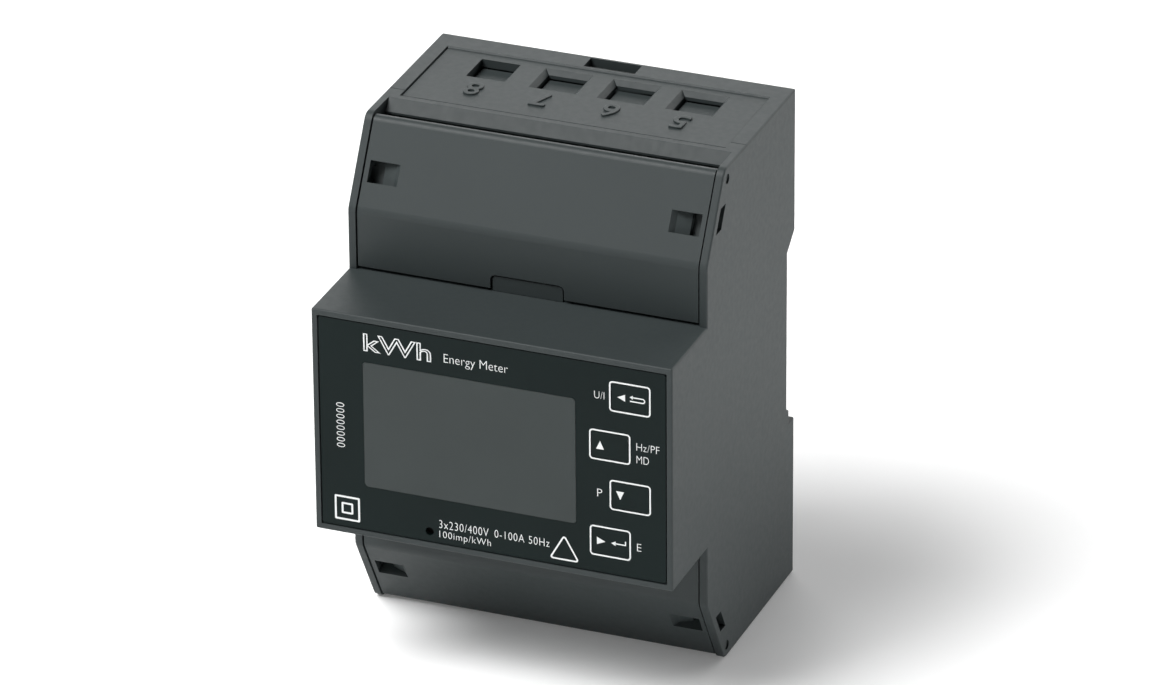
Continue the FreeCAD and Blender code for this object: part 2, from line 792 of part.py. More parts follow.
def add_cover(side, label):
    """Hinged cover: slanted plate, rounded hinge barrel, pegs and seal pockets."""
    body = make_body(label)
    tangent = "tan(cover_angle)"
    outer = "cheek_depth + cover_inset"
    inner = "cheek_depth + cover_inset + cover_wall"
    pivot = ("cheek_depth + (height / 2 - bend_rise) / tan(cover_angle)"
             " + pivot_round * tan(cover_angle / 2)")
    pivot_rise = "height / 2 - pivot_round"
    face_reach = "pivot_round - cover_inset"
    away = ("sin(cover_angle)", "cos(cover_angle)")

    def slant(depth_text, below):
        """Height on a line parallel to the cheek's slanted edge."""
        return f"bend_rise + {tangent} * ({depth_text} - cheek_depth) - ({below}) / cos(cover_angle)"

    def from_pivot(distance):
        return (back(f"{pivot} - ({distance}) * {away[0]}"),
                rise(side, f"{pivot_rise} + ({distance}) * {away[1]}"))

    plate = [
        (back(outer), rise(side, "cover_lip_rise")),
        (back(outer), rise(side, slant(outer, "cover_inset"))),
        from_pivot(face_reach),
        from_pivot(f"{face_reach} - cover_wall"),
        (back(inner), rise(side, slant(inner, "cover_inset + cover_wall"))),
        (back(inner), rise(side, "cover_lip_rise")),
    ]
    half = "(width / 2 - wall - cover_gap)"
    pad(body, make_sketch(body, "YZ_Plane", polygons=[plate]), f"2 * {half}", "Symmetric")
    fillet(body, "bend_round", lambda box: runs_across(
        box, value(back(outer)), value(rise(side, slant(outer, "cover_inset")))))
    fillet(body, "bend_round - cover_wall", lambda box: runs_across(
        box, value(back(inner)), value(rise(side, slant(inner, "cover_inset + cover_wall")))))
    barrel = (*from_pivot(f"{face_reach} - barrel_radius"), "barrel_radius")
    pad(body, make_sketch(body, "YZ_Plane", circles=[barrel]), f"2 * {half}", "Symmetric")
    pad(body, make_sketch(body, "YZ_Plane", circles=[(pivot_y(), pivot_z(side), "peg_radius")]),
        f"2 * ({half} + peg_reach + cover_gap - 0.1)", "Symmetric")

    flange = [
        (back(f"{outer} + 0.5"), rise(side, "cover_lip_rise + 1.5")),
        (back(f"{outer} + 0.5"), rise(side, "bend_rise - 0.3")),
        (back(f"{pivot} - 2.6"), rise(side, f"{pivot_rise} - 2.6")),
        (back(f"{pivot} - 2.0"), rise(side, f"{pivot_rise} - 4.6")),
        (back(f"{outer} + 4.6"), rise(side, "bend_rise - 1.6")),
        (back(f"{outer} + 4.6"), rise(side, "cover_lip_rise + 1.5")),
    ]
    for hand in (1, -1):
        sketch = make_sketch(body, "YZ_Plane", f"{hand} * ({half} - 1.3)", polygons=[flange])
        pad(body, sketch, "1.3", reverse=hand < 0)

    def slanted_sketch(polygon):
        """Sketch across the slanted plate, its second axis pointing inwards."""
        sketch = make_sketch(body, "XY_Plane", rise(side, "pocket_rise"), polygons=[polygon])
        turned = Rotation(Vector(1, 0, 0), -side * (90 - value("cover_angle")))
        middle_depth = "cheek_depth + (pocket_rise - bend_rise) / tan(cover_angle)"
        sketch.AttachmentOffset = Placement(Vector(), turned)
        bind(sketch, "AttachmentOffset.Base.y", back(middle_depth))
        return sketch

    for hand in (1, -1):
        shell = rectangle(f"{hand} * (pocket_inner - 0.9)", f"{hand} * {half}",
                          "cover_inset + 0.8", "cover_inset + pocket_deep + 0.7")
        pad(body, slanted_sketch(shell), "pocket_length + 1.4", "Symmetric")
    for hand in (1, -1):
        ramp = [
            (f"{hand} * pocket_inner", "cover_inset - 1"),
            (f"{hand} * pocket_inner", "cover_inset"),
            (f"{hand} * (pocket_inner + pocket_bevel)", "cover_inset + pocket_bevel"),
            (f"{hand} * (pocket_inner + pocket_ramp)", "cover_inset + pocket_step"),
            (f"{hand} * (pocket_inner + pocket_ramp)", "cover_inset + pocket_deep"),
            (f"{hand} * pocket_outer", "cover_inset + pocket_deep"),
            (f"{hand} * pocket_outer", "cover_inset - 1"),
        ]
        pocket(body, slanted_sketch(ramp), "pocket_length", "Symmetric")
        thread = rectangle(f"{hand} * (pocket_outer - 0.5)", f"{hand} * (width / 2)",
                           "cover_inset + 1.3", "cover_inset + pocket_deep")
        pocket(body, slanted_sketch(thread), "pocket_length - 1.6", "Symmetric")

    finger_top = "cover_lip_rise + finger_rise"
    finger = rectangle("-finger_half", "finger_half", rise(side, "cover_lip_rise - 1"),
                       rise(side, finger_top))
    pocket(body, make_sketch(body, "XZ_Plane", facing("cheek_depth - 1"), polygons=[finger]),
           "1 + cover_inset + cover_wall")
    backing = rectangle("-(finger_half + 1)", "finger_half + 1",
                        rise(side, "cover_lip_rise"), rise(side, f"{finger_top} + 1"))
    pad(body, make_sketch(body, "XZ_Plane", facing(inner), polygons=[backing]), "finger_backing",
        reverse=True)
    tongue = rectangle("-(finger_half - finger_gap)", "finger_half - finger_gap",
                       rise(side, "nose_rise + 0.1"), rise(side, f"{finger_top} - finger_gap"))
    pad(body, make_sketch(body, "XZ_Plane", facing(f"{outer} + finger_recess"), polygons=[tongue]),
        "cover_wall - finger_recess", reverse=True)
    for radius, gap in (("finger_corner", "0"), ("finger_corner - finger_gap", "finger_gap")):
        corner_x = value(f"finger_half - {gap}")
        corner_z = value(rise(side, f"{finger_top} - {gap}"))
        fillet(body, radius, lambda box, x=corner_x, z=corner_z: box.XLength < 0.01 and box.ZLength < 0.01
               and abs(abs(box.XMin) - x) < 0.01 and abs(box.ZMin - z) < 0.01)


# ---------------------------------------------------------------- front

def add_face_plate():
    """Thin plate in the bezel, open at the screen, the keys and the LED."""
    body = make_body("face_plate")
    outline = rectangle("-plate_half", "plate_half", rise(-1, "plate_rise"), rise(1, "plate_rise"))
    rear = facing("plate_inset + plate_thick")
    pad(body, make_sketch(body, "XZ_Plane", rear, polygons=[outline]), "plate_thick")
    screen = rectangle("screen_centre - screen_half - screen_gap",
                       "screen_centre + screen_half + screen_gap",
                       "screen_low - screen_gap", "screen_high + screen_gap")
    keys = []
    for x, z in key_centres():
        keys.append(rectangle(f"{x} - key_half - key_gap", f"{x} + key_half + key_gap",
                              f"{z} - key_half_height - key_gap", f"{z} + key_half_height + key_gap"))
    pocket(body, make_sketch(body, "XZ_Plane", facing("0"), polygons=[screen] + keys,
                             circles=[("led_across", "led_height", "led_radius")]), "2")
    edge = value("plate_half")
    fillet(body, "plate_corner", lambda box: box.XLength < 0.01 and box.ZLength < 0.01
           and abs(abs(box.XMin) - edge) < 0.01)
    keys_from = value("key_left - key_half - 1")
    fillet(body, "screen_corner + screen_gap", lambda box: box.XLength < 0.01 and box.ZLength < 0.01
           and 0.5 - edge < box.XMin < keys_from and box.YLength > 0.5)
    fillet(body, "key_corner + key_gap", lambda box: box.XLength < 0.01 and box.ZLength < 0.01
           and keys_from < box.XMin < edge - 0.5)


def add_key(label, x, z):
    """Flush cap with a flange behind the front wall and a short stem."""
    body = make_body(label)
    cap = rectangle(f"{x} - key_half", f"{x} + key_half",
                    f"{z} - key_half_height", f"{z} + key_half_height")
    rear = facing("front_wall + 0.1")
    pad(body, make_sketch(body, "XZ_Plane", rear, polygons=[cap]), "front_wall + 0.1 - plate_inset")
    fillet(body, "key_corner", lambda box: box.XLength < 0.01 and box.ZLength < 0.01)
    face = value(back("plate_inset"))
    fillet(body, "0.15", lambda box: box.YLength < 0.01 and abs(box.YMin - face) < 0.01)
    flange = rectangle(f"{x} - key_half - key_flange", f"{x} + key_half + key_flange",
                       f"{z} - key_half_height - key_flange", f"{z} + key_half_height + key_flange")
    pad(body, make_sketch(body, "XZ_Plane", rear, polygons=[flange]), "0.6", reverse=True)
    pad(body, make_sketch(body, "XZ_Plane", facing("front_wall + 0.6"), circles=[(x, z, "1.5")]), "0.7",
        reverse=True)


def add_keypad_mat():
    """Rubber sheet on the board with a collapsible dome behind each key."""
    sheet = block("mat_sheet", "mat_left", "mat_right", back("mat_depth"), back("display_board_depth"),
                  "mat_low", "mat_high")
    pieces = [sheet]
    for number, (x, z) in enumerate(key_centres(), start=1):
        dome = doc.addObject("Part::Cone", f"mat_dome_{number}")
        dome.Placement = Placement(Vector(), Rotation(Vector(0, 0, 1), Vector(0, 1, 0)))
        for axis, text in zip("xyz", (f"min({x}; dome_right)", back("dome_depth"), z)):
            bind(dome, "Placement.Base." + axis, text)
        bind(dome, "Radius1", "dome_tip_radius")
        bind(dome, "Radius2", "dome_foot_radius")
        bind(dome, "Height", "dome_height")
        pieces.append(dome)
    keep(join("keypad_mat", pieces), "keypad_mat")


def add_screen():
    """Clear window, glass cell, backlight, holding frame and contact strip."""
    low_x = "screen_centre - screen_half"
    high_x = "screen_centre + screen_half"
    window = block("window_plate", low_x, high_x, back("plate_inset"), back("front_wall - 0.1"),
                   "screen_low", "screen_high")
    rounded = doc.addObject("Part::Fillet", "lcd_window")
    rounded.Base = window
    doc.recompute()
    corner = value("screen_corner")
    rounded.Edges = [(number, corner, corner) for number, edge in enumerate(window.Shape.Edges, start=1)
                     if edge.BoundBox.XLength < 0.01 and edge.BoundBox.ZLength < 0.01]
    keep(rounded, "lcd_window")

    keep(block("lcd_panel", "screen_centre - cell_left", "screen_centre + cell_right",
               back("front_wall + 0.2"), back("cell_back_depth"), "cell_low", "cell_high"), "lcd_panel")
    keep(block("lcd_backlight", "screen_centre - light_left", "screen_centre + light_right",
               back("light_depth"), back("display_board_depth - 0.2"), "light_low", "light_high"),
         "lcd_backlight")
    frame = block("frame_solid", "screen_centre - frame_left", "screen_centre + frame_right",
                  back("front_wall + 0.1"), back("display_board_depth - 0.05"), "frame_low", "frame_high")
    hollow = block("frame_hollow", "screen_centre - frame_left + frame_wall",
                   "screen_centre + frame_right - frame_wall / 2 - 0.15", back("front_wall - 1"),
                   back("display_board_depth + 1"), "frame_low + frame_wall", "frame_high - frame_wall")
    keep(minus("lcd_frame", frame, [hollow]), "lcd_frame")
    keep(block("zebra_connector", "screen_centre - zebra_left", "screen_centre + zebra_right",
               back("cell_back_depth + 0.05"), back("display_board_depth - 0.05"), "zebra_low",
               "zebra_high"), "zebra_connector")


def add_indicator():
    """Pulse LED on the display board, and the pipe that leads its light out."""
    body = rod("led_body", ALONG_Y, ("led_across", back("led_depth"), "led_height"), "led_dome_radius",
               "display_board_depth - led_depth - 0.05")
    rim = rod("led_rim", ALONG_Y, ("led_across", back("led_rim_depth"), "led_height"), "led_rim_radius",
              "display_board_depth - led_rim_depth - 0.05")
    dome = doc.addObject("Part::Sphere", "led_dome")
    for axis, text in zip("xyz", ("led_across", back("led_depth"), "led_height")):
        bind(dome, "Placement.Base." + axis, text)
    bind(dome, "Radius", "led_dome_radius")
    keep(join("pulse_led", [body, rim, dome]), "pulse_led")
    pipe = rod("pipe_shaft", ALONG_Y, ("led_across", back("pipe_depth"), "led_height"), "led_radius - 0.05",
               "pipe_length")
    collar = rod("pipe_collar", ALONG_Y, ("led_across", back("front_wall + 0.1"), "led_height"),
                 "led_rim_radius", "pipe_collar")
    keep(join("led_light_pipe", [pipe, collar]), "led_light_pipe")


# ---------------------------------------------------------------- boards

def add_display_board():
    board = block("display_board_sheet", "-board_half", "board_half", back("display_board_depth"),
                  back("display_board_depth + board_thick"), rise(-1, "board_rise"), rise(1, "board_rise"))
    holes = []
    for number, (x, z) in enumerate(spacer_places(), start=1):
        holes.append(rod(f"display_board_hole_{number}", ALONG_Y, (x, back("display_board_depth - 1"), z),
                         "1.1", "board_thick + 2"))
    keep(minus("display_board", board, holes), "display_board")


def add_main_board():
    board = block("main_board_sheet", "-board_half", "board_half", back("main_board_depth"),
                  back("main_board_depth + board_thick"), rise(-1, "board_rise"), rise(1, "board_rise"))
    holes = []
    for number, (x, z) in enumerate(spacer_places(), start=1):
        holes.append(rod(f"main_board_hole_{number}", ALONG_Y, (x, back("main_board_depth - 1"), z),
                         "1.3", "board_thick + 2"))
    keep(minus("main_board", board, holes), "main_board")


def add_board_spacers():
    """Hexagonal pillars that screw through the display board into the housing."""
    spacers = []
    screws = []
    for number, (x, z) in enumerate(spacer_places(), start=1):
        prism = doc.addObject("Part::Prism", f"spacer_prism_{number}")
        prism.Polygon = 6
        prism.Placement = Placement(Vector(), Rotation(Vector(0, 0, 1), Vector(0, 1, 0)))
        for axis, text in zip("xyz", (x, back("display_board_depth + board_thick"), z)):
            bind(prism, "Placement.Base." + axis, text)
        bind(prism, "Circumradius", "spacer_radius")
        bind(prism, "Height", "main_board_depth - display_board_depth - board_thick")
        stud = rod(f"spacer_stud_{number}", ALONG_Y, (x, back("display_board_depth - 3.5"), z),
                   "stud_radius", "3.5 + board_thick")
        bore = rod(f"spacer_bore_{number}", ALONG_Y, (x, back("main_board_depth - 5"), z),
                   "board_screw_radius + 0.05", "6")
        spacers.append(minus(f"spacer_{number}", join(f"spacer_solid_{number}", [prism, stud]), [bore]))
        head = rod(f"board_screw_head_{number}", ALONG_Y, (x, back("main_board_depth + board_thick"), z),
                   "board_screw_head", "1.3")
        shank = rod(f"board_screw_shank_{number}", ALONG_Y, (x, back("main_board_depth - 4"), z),
                    "board_screw_radius", "4.2 + board_thick")
        rear = "main_board_depth + board_thick"
        slot = block(f"board_screw_slot_{number}", f"{x} - 2", f"{x} + 2", back(f"{rear} + 0.8"),
                     back(f"{rear} + 2"), f"{z} - 0.25", f"{z} + 0.25")
        solid = join(f"board_screw_solid_{number}", [head, shank])
        screws.append(minus(f"board_screw_{number}", solid, [slot]))
    for label, items in (("board_spacers", spacers), ("board_screws", screws)):
        group = doc.addObject("Part::Compound", label)
        group.Links = items
        keep(group, label)


def add_board_parts():
    """Components on the two boards."""
    rear_of_display = "display_board_depth + board_thick"
    front_of_main = "main_board_depth"
    keep(block("board_header", "-20", "2", back(rear_of_display), back(front_of_main), "66", "68.6"),
         "board_header")
    keep(chip("microcontroller", ("-6", "46"), 10, rear_of_display, 1), "microcontroller")
    keep(chip("metering_chip", ("-2", "37"), 9, front_of_main, -1), "metering_chip")

    core = block("transformer_core", "-27", "-11", back("15"), back("23"), "49", "64")
    coil = block("transformer_coil", "-25", "-13", back("13.6"), back("24.4"), "51", "62")
    base = block("transformer_base", "-27", "-11", back("24"), back(front_of_main), "50", "63")
    keep(join("transformer", [core, coil, base]), "transformer")

    cans = []
    sizes = (("-4", "58", 4, 12), ("5.5", "58", 4, 12), ("-22", "38", 5, 9))
    for number, (x, z, radius, length) in enumerate(sizes, start=1):
        can = rod(f"can_{number}", ALONG_Y, (x, back(f"{front_of_main} - {length}"), z), radius, length)
        rounded = doc.addObject("Part::Fillet", f"capacitor_{number}")
        rounded.Base = can
        doc.recompute()
        rounded.Edges = [(index, 0.6, 0.6) for index, edge in enumerate(can.Shape.Edges, start=1)
                         if edge.BoundBox.YLength < 0.01]
        cans.append(rounded)
    discs = []
    for number, x in enumerate(("15", "20", "25"), start=1):
        disc = rod(f"disc_{number}", ALONG_X, (f"{x} - 1.6", back(f"{front_of_main} - 6.2"), "59"),
                   "4.5", "3.2")
        leads = [rod(f"disc_lead_{number}_{turn}", ALONG_Y,
                     (x, back(f"{front_of_main} - 4"), f"59 + {turn}"), "0.35", "4") for turn in (-2.5, 2.5)]
        discs.append(join(f"varistor_{number}", [disc] + leads))
    for label, items in (("capacitors", cans), ("varistors", discs)):
        group = doc.addObject("Part::Compound", label)
        group.Links = items
        keep(group, label)
    cell = rod("cell_case", ALONG_Y, ("20", back(f"{front_of_main} - 3.4"), "40"), "6.2", "2.6")
    holder = rod("cell_holder", ALONG_Y, ("20", back(f"{front_of_main} - 0.8"), "40"), "7", "0.8")
    keep(join("backup_battery", [cell, holder]), "backup_battery")


def chip(label, place, size, board_face, direction):
    """Flat package with rows of leads on its four sides."""
    x, z = place
    near, far = ("0.15", "1.5") if direction > 0 else ("-1.5", "-0.15")
    half = size / 2
    pieces = [block(label + "_case", f"{x} - {half}", f"{x} + {half}", back(f"{board_face} + {near}"),
                    back(f"{board_face} + {far}"), f"{z} - {half}", f"{z} + {half}")]
    low, high = ("0", "0.3") if direction > 0 else ("-0.3", "0")
    for step in range(6):
        along = -0.375 * size + 0.15 * size * step
        pieces.append(block(f"{label}_lead_x{step}", f"{x} - {size / 2 + 0.8}", f"{x} + {size / 2 + 0.8}",
                            back(f"{board_face} + {low}"), back(f"{board_face} + {high}"),
                            f"{z} + {along} - 0.2", f"{z} + {along} + 0.2"))
        pieces.append(block(f"{label}_lead_z{step}", f"{x} + {along} - 0.2", f"{x} + {along} + 0.2",
                            back(f"{board_face} + {low}"), back(f"{board_face} + {high}"),
                            f"{z} - {size / 2 + 0.8}", f"{z} + {size / 2 + 0.8}"))
    return join(label, pieces)


# ---------------------------------------------------------------- current path

def add_bar(pole, label):
    """Flat copper bar from the upper to the lower terminal, waisted in the middle."""
    body = make_body(label)
    x = pole_x(pole)
    half = half_of(pole, "bar_half", "(bar_half - 0.8)")
    outline = []
    for across, height in ((-1, 1), (1, 1), (1, -1), (-1, -1)):
        ends = [(f"{x} + {across} * {half}", f"height / 2 + {height} * bar_rise"),
                (f"{x} + {across} * {half}", f"height / 2 + {height} * (bar_neck_rise + 3)"),
                (f"{x} + {across} * bar_neck_half", f"height / 2 + {height} * bar_neck_rise")]
        outline += ends if across * height > 0 else ends[::-1]
    pad(body, make_sketch(body, "XZ_Plane", facing("bar_front_depth"), polygons=[outline]), "bar_thick",
        reverse=True)


def add_transformer_ring(phase, pole):
    """Wound core around a bar; neighbours stand at different heights."""
    side = 1 if phase == 2 else -1
    centre = (pole_x(pole), back("bar_front_depth + bar_thick / 2"),
              rise(side, "ring_stagger") + " - ring_height / 2")
    outer = rod(f"ring_outer_{phase}", ALONG_Z, centre, "ring_radius", "ring_height")
    rounded = doc.addObject("Part::Fillet", f"ring_round_{phase}")
    rounded.Base = outer
    doc.recompute()
    rounded.Edges = [(number, 2.0, 2.0) for number, edge in enumerate(outer.Shape.Edges, start=1)
                     if edge.BoundBox.ZLength < 0.01]
    hole = rod(f"ring_hole_{phase}", ALONG_Z, (centre[0], centre[1], centre[2] + " - 1"), "ring_bore",
               "ring_height + 2")
    label = f"current_transformer_{phase}"
    keep(minus(label, rounded, [hole]), label)


def add_leads():
    """Straight tinned leads from the rings and the bars to the main board."""
    board = "main_board_depth + board_thick"
    ring_leads = []
    tap_leads = []
    for phase, pole in zip(PHASES, (1.5, 0.5, -0.5)):
        side = 1 if phase == 2 else -1
        for shift in (-1.5, 1.5):
            start = (f"{pole_x(pole)} + {shift}", back(board), rise(side, "ring_stagger"))
            ring_leads.append(rod(f"ring_lead_{phase}", ALONG_Y, start, "0.5",
                                  f"bar_front_depth + bar_thick / 2 - ring_radius - ({board}) + 0.05"))
    for pole in POLES:
        start = (pole_x(pole), back(board), rise(1, "bar_neck_rise"))
        tap_leads.append(rod("tap_lead", ALONG_Y, start, "0.6", f"bar_front_depth - ({board})"))
    for label, items in (("current_leads", ring_leads), ("voltage_leads", tap_leads)):
        group = doc.addObject("Part::Compound", label)
        group.Links = items
        keep(group, label)


# ---------------------------------------------------------------- terminals

def add_terminal(number, side, pole):
    """Rising cage with its guard flap, and the captive screw that moves it."""
    x = pole_x(pole)
    half = half_of(pole, "cage_half", "neutral_cage_half")
    low = rise(side, "cage_rise")
    high = rise(side, "cage_rise + cage_height")
    bottom, top = (low, high) if side > 0 else (high, low)
    label = f"terminal_cage_{number}"
    outer = block(label + "_outer", f"{x} - {half}", f"{x} + {half}", back("cage_front_depth"),
                  back("cage_back_depth"), bottom, top)
    room = block(label + "_room", f"{x} - {half} + cage_wall", f"{x} + {half} - cage_wall",
                 back("cage_front_depth + cage_nut"), back("cage_back_depth - cage_wall"),
                 f"{bottom} - 1", f"{top} + 1")
    flap_top = drop(side, "flap_drop")
    flap_low = drop(side, "flap_drop + cage_wall")
    reach = (flap_low, flap_top) if side > 0 else (flap_top, flap_low)
    throat, inset = entry_throat(pole)
    flap = block(label + "_flap", f"{x} - ({throat} - flap_gap)", f"{x} + ({throat} - flap_gap)",
                 back("cage_back_depth - cage_wall"), back(f"entry_back_depth - {inset} - flap_gap"), *reach)
    riser_reach = (high, flap_top) if side > 0 else (flap_top, high)
    riser = block(label + "_riser", f"{x} - ({throat} - flap_gap)", f"{x} + ({throat} - flap_gap)",
                  back("cage_back_depth - cage_wall"), back("cage_back_depth"), *riser_reach)
    bore = rod(label + "_bore", ALONG_Y, (x, back("cage_front_depth - 1"), rise(side, "screw_rise")),
               "screw_radius + thread_gap", "cage_nut + 2")
    keep(minus(label, join(label + "_solid", [outer, flap, riser]), [room, bore]), label)

    label = f"terminal_screw_{number}"
    head = rod(label + "_head", ALONG_Y, (x, back("screw_head_depth"), rise(side, "screw_rise")),
               "screw_head_radius", "screw_head")
    shank = rod(label + "_shank", ALONG_Y, (x, back("screw_head_depth + screw_head - 0.1"),
                                            rise(side, "screw_rise")),
                "screw_radius", "bar_front_depth - screw_head_depth - screw_head")
    slots = []
    for turn in (0, 90):
        slots.append(drive_slot(f"{label}_slot_{turn}", x, rise(side, "screw_rise"), turn))
    keep(minus(label, join(label + "_solid", [head, shank]), slots), label)


def drive_slot(name, x, z, turn):
    """One bar of a cross recess, cut into a terminal screw's head."""
    long_half, short_half = ("2.2", "0.5") if turn == 0 else ("0.5", "2.2")
    return block(name, f"{x} - {long_half}", f"{x} + {long_half}", back("screw_head_depth - 1"),
                 back("screw_head_depth + 1.9"), f"{z} - {short_half}", f"{z} + {short_half}")


# ---------------------------------------------------------------- rail clip

def add_clip():
    """Sliding clip: hook behind the rail, stem, window for the spring, pull tab."""
    body = make_body("din_clip")
    front = facing("clip_depth")
    stem = rectangle("-clip_stem_half", "clip_stem_half", "0.4", "clip_head_low + 1")
    head = rectangle("-clip_head_half", "clip_head_half", "clip_head_low", "rail_bottom - 0.6")
    pad(body, make_sketch(body, "XZ_Plane", front, polygons=[stem]), "clip_thick", reverse=True)
    pad(body, make_sketch(body, "XZ_Plane", front, polygons=[head]), "clip_thick", reverse=True)
    hook = [
        (back("clip_hook_depth"), "clip_head_low"),
        (back("clip_hook_depth"), "clip_top"),
        (back("clip_hook_depth + 0.5"), "clip_top"),
        (back("depth - 0.3"), "clip_top - 1.6"),
        (back("depth - 0.3"), "clip_head_low"),
    ]
    pad(body, make_sketch(body, "YZ_Plane", polygons=[hook]), "2 * clip_head_half", "Symmetric")
    window = rectangle("-clip_window_half", "clip_window_half", "clip_window_low", "clip_window_high")
    pull = rectangle("-2.75", "2.75", "1.4", "3.0")
    pocket(body, make_sketch(body, "XZ_Plane", facing("clip_depth - 1"), polygons=[window, pull]), "4")


def add_clip_spring():
    """Compression spring between the base's peg and the top of the clip's window."""
    helix = doc.addObject("Part::Helix", "spring_path")
    low = "clip_window_low + 2.25 + spring_wire"
    high = "clip_window_high - 0.05 - spring_wire"
    bind(helix, "Radius", "spring_radius")
    bind(helix, "Pitch", f"(({high}) - ({low})) / 6")
    bind(helix, "Height", f"({high}) - ({low})")
    bind(helix, "Placement.Base.y", back("clip_depth + 0.3"))
    bind(helix, "Placement.Base.z", low)
    section = doc.addObject("Part::Circle", "spring_section")
    section.Placement = Placement(Vector(), Rotation(Vector(1, 0, 0), 90))
    bind(section, "Radius", "spring_wire")
    bind(section, "Placement.Base.x", "spring_radius")
    bind(section, "Placement.Base.y", back("clip_depth + 0.3"))
    bind(section, "Placement.Base.z", low)
    sweep = doc.addObject("Part::Sweep", "clip_spring")
    sweep.Sections = [section]
    doc.recompute()
    sweep.Spine = (helix, [f"Edge{number}" for number in range(1, len(helix.Shape.Edges) + 1)])
    sweep.Solid = True
    sweep.Frenet = True
    keep(sweep, "clip_spring")


# ---------------------------------------------------------------- communication terminals

def add_comms_block():
    """Six small screw terminals for the serial link and the pulse output."""
    case = block("comms_case", "-comms_half", "comms_half", back("comms_depth"), back("comms_back_depth"),
                 "comms_low", "comms_high")
    tools = []
    screws = []
    for number in range(6):
        x = f"{number - 2.5} * comms_pitch"
        tools.append(rod(f"comms_hole_{number}", ALONG_Y,
                         (x, back("comms_depth - 0.8"), "comms_screw_height"),
                         "comms_screw_radius + 0.1", "4.2"))
        tools.append(block(f"comms_entry_{number}", f"{x} - comms_entry_half", f"{x} + comms_entry_half",
                           back("comms_depth + 1.1"), back("comms_back_depth - 1.2"), "comms_low - 1",
                           "comms_low + 1.3"))
        head = rod(f"comms_screw_head_{number}", ALONG_Y, (x, back("comms_depth + 1"), "comms_screw_height"),
                   "comms_screw_radius", "2.3")
        slot = block(f"comms_slot_{number}", f"{x} - 2", f"{x} + 2", back("comms_depth - 0.3"),
                     back("comms_depth + 1.6"), "comms_screw_height - 0.2", "comms_screw_height + 0.2")
        screws.append(minus(f"comms_screw_{number}", head, [slot]))
    keep(minus("comms_terminal_block", case, tools), "comms_terminal_block")
    group = doc.addObject("Part::Compound", "comms_screws")
    group.Links = screws
    keep(group, "comms_screws")


# ---------------------------------------------------------------- assembly

def build():
    add_main_housing()
    add_rear_base()
    add_housing_screws()
    for side, name in ((1, "upper"), (-1, "lower")):
        add_terminal_block(side, f"{name}_terminal_block")
        add_cover(side, f"{name}_terminal_cover")
    add_face_plate()
    for label, (x, z) in zip(("key_back", "key_up", "key_down", "key_enter"), key_centres()):
        add_key(label, x, z)
    add_keypad_mat()
    add_screen()
    add_indicator()
    add_display_board()
    add_main_board()
    add_board_spacers()
    add_board_parts()
    for phase, pole in zip(PHASES, (1.5, 0.5, -0.5)):
        add_bar(pole, f"phase_bar_{phase}")
        add_transformer_ring(phase, pole)
    add_bar(NEUTRAL_POLE, "neutral_bar")
    add_leads()
    for number in range(1, 5):
        pole = POLES[4 - number]
        add_terminal(number, -1, pole)
        add_terminal(number + 4, 1, pole)
    add_clip()
    add_clip_spring()
    add_comms_block()


def check_document():
    for thing in doc.Objects:
        if "Invalid" in thing.State or "Error" in thing.State:
            raise RuntimeError(f"{thing.Name} ({thing.Label}) failed: {thing.State}")
    for node in nodes:
        if node.Shape.isNull() or not node.Shape.isValid():
            raise RuntimeError(f"{node.Label} has no valid shape")


def export():
    os.makedirs("parts", exist_ok=True)
    for old in os.listdir("parts"):
        if old.endswith(".step"):
            os.remove(os.path.join("parts", old))
    for node in nodes:
        node.Shape.exportStep(f"parts/{node.Label}.step")


build()
doc.recompute()
check_document()
export()
print(len(nodes), "nodes")
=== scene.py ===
"""Looks of the four-module electricity meter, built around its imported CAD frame."""

import json
import math

import bmesh
import bpy
from mathutils import Matrix, Vector


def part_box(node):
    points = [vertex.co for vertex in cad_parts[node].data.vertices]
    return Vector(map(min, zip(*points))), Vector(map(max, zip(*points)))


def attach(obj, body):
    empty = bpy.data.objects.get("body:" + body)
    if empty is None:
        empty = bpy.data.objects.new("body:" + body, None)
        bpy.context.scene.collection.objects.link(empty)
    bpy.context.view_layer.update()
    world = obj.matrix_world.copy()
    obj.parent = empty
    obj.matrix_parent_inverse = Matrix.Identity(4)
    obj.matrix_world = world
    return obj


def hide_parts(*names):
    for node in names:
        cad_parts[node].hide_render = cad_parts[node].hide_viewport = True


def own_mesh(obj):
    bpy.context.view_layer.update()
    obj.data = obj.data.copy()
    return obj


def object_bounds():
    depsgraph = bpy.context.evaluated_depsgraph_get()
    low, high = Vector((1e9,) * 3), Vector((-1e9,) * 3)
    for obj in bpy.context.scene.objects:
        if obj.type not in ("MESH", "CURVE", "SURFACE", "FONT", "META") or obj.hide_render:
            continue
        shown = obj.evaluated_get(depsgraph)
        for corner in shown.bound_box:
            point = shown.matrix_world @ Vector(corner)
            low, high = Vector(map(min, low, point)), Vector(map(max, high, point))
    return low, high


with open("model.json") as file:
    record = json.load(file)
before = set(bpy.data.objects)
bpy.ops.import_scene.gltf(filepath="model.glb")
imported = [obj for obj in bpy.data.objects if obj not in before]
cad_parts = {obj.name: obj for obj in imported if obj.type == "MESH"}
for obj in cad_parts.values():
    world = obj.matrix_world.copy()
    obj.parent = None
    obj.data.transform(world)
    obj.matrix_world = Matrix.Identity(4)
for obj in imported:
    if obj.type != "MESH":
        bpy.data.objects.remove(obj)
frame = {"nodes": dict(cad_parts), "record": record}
cad_low, cad_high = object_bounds()
nodes = frame["nodes"]

MM = 0.001
PLATE_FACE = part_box("face_plate")[0].y
KEY_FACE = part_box("key_up")[0].y
TOP = cad_high.z
PRINT = 0.03 * MM


# ---------------------------------------------------------------- materials

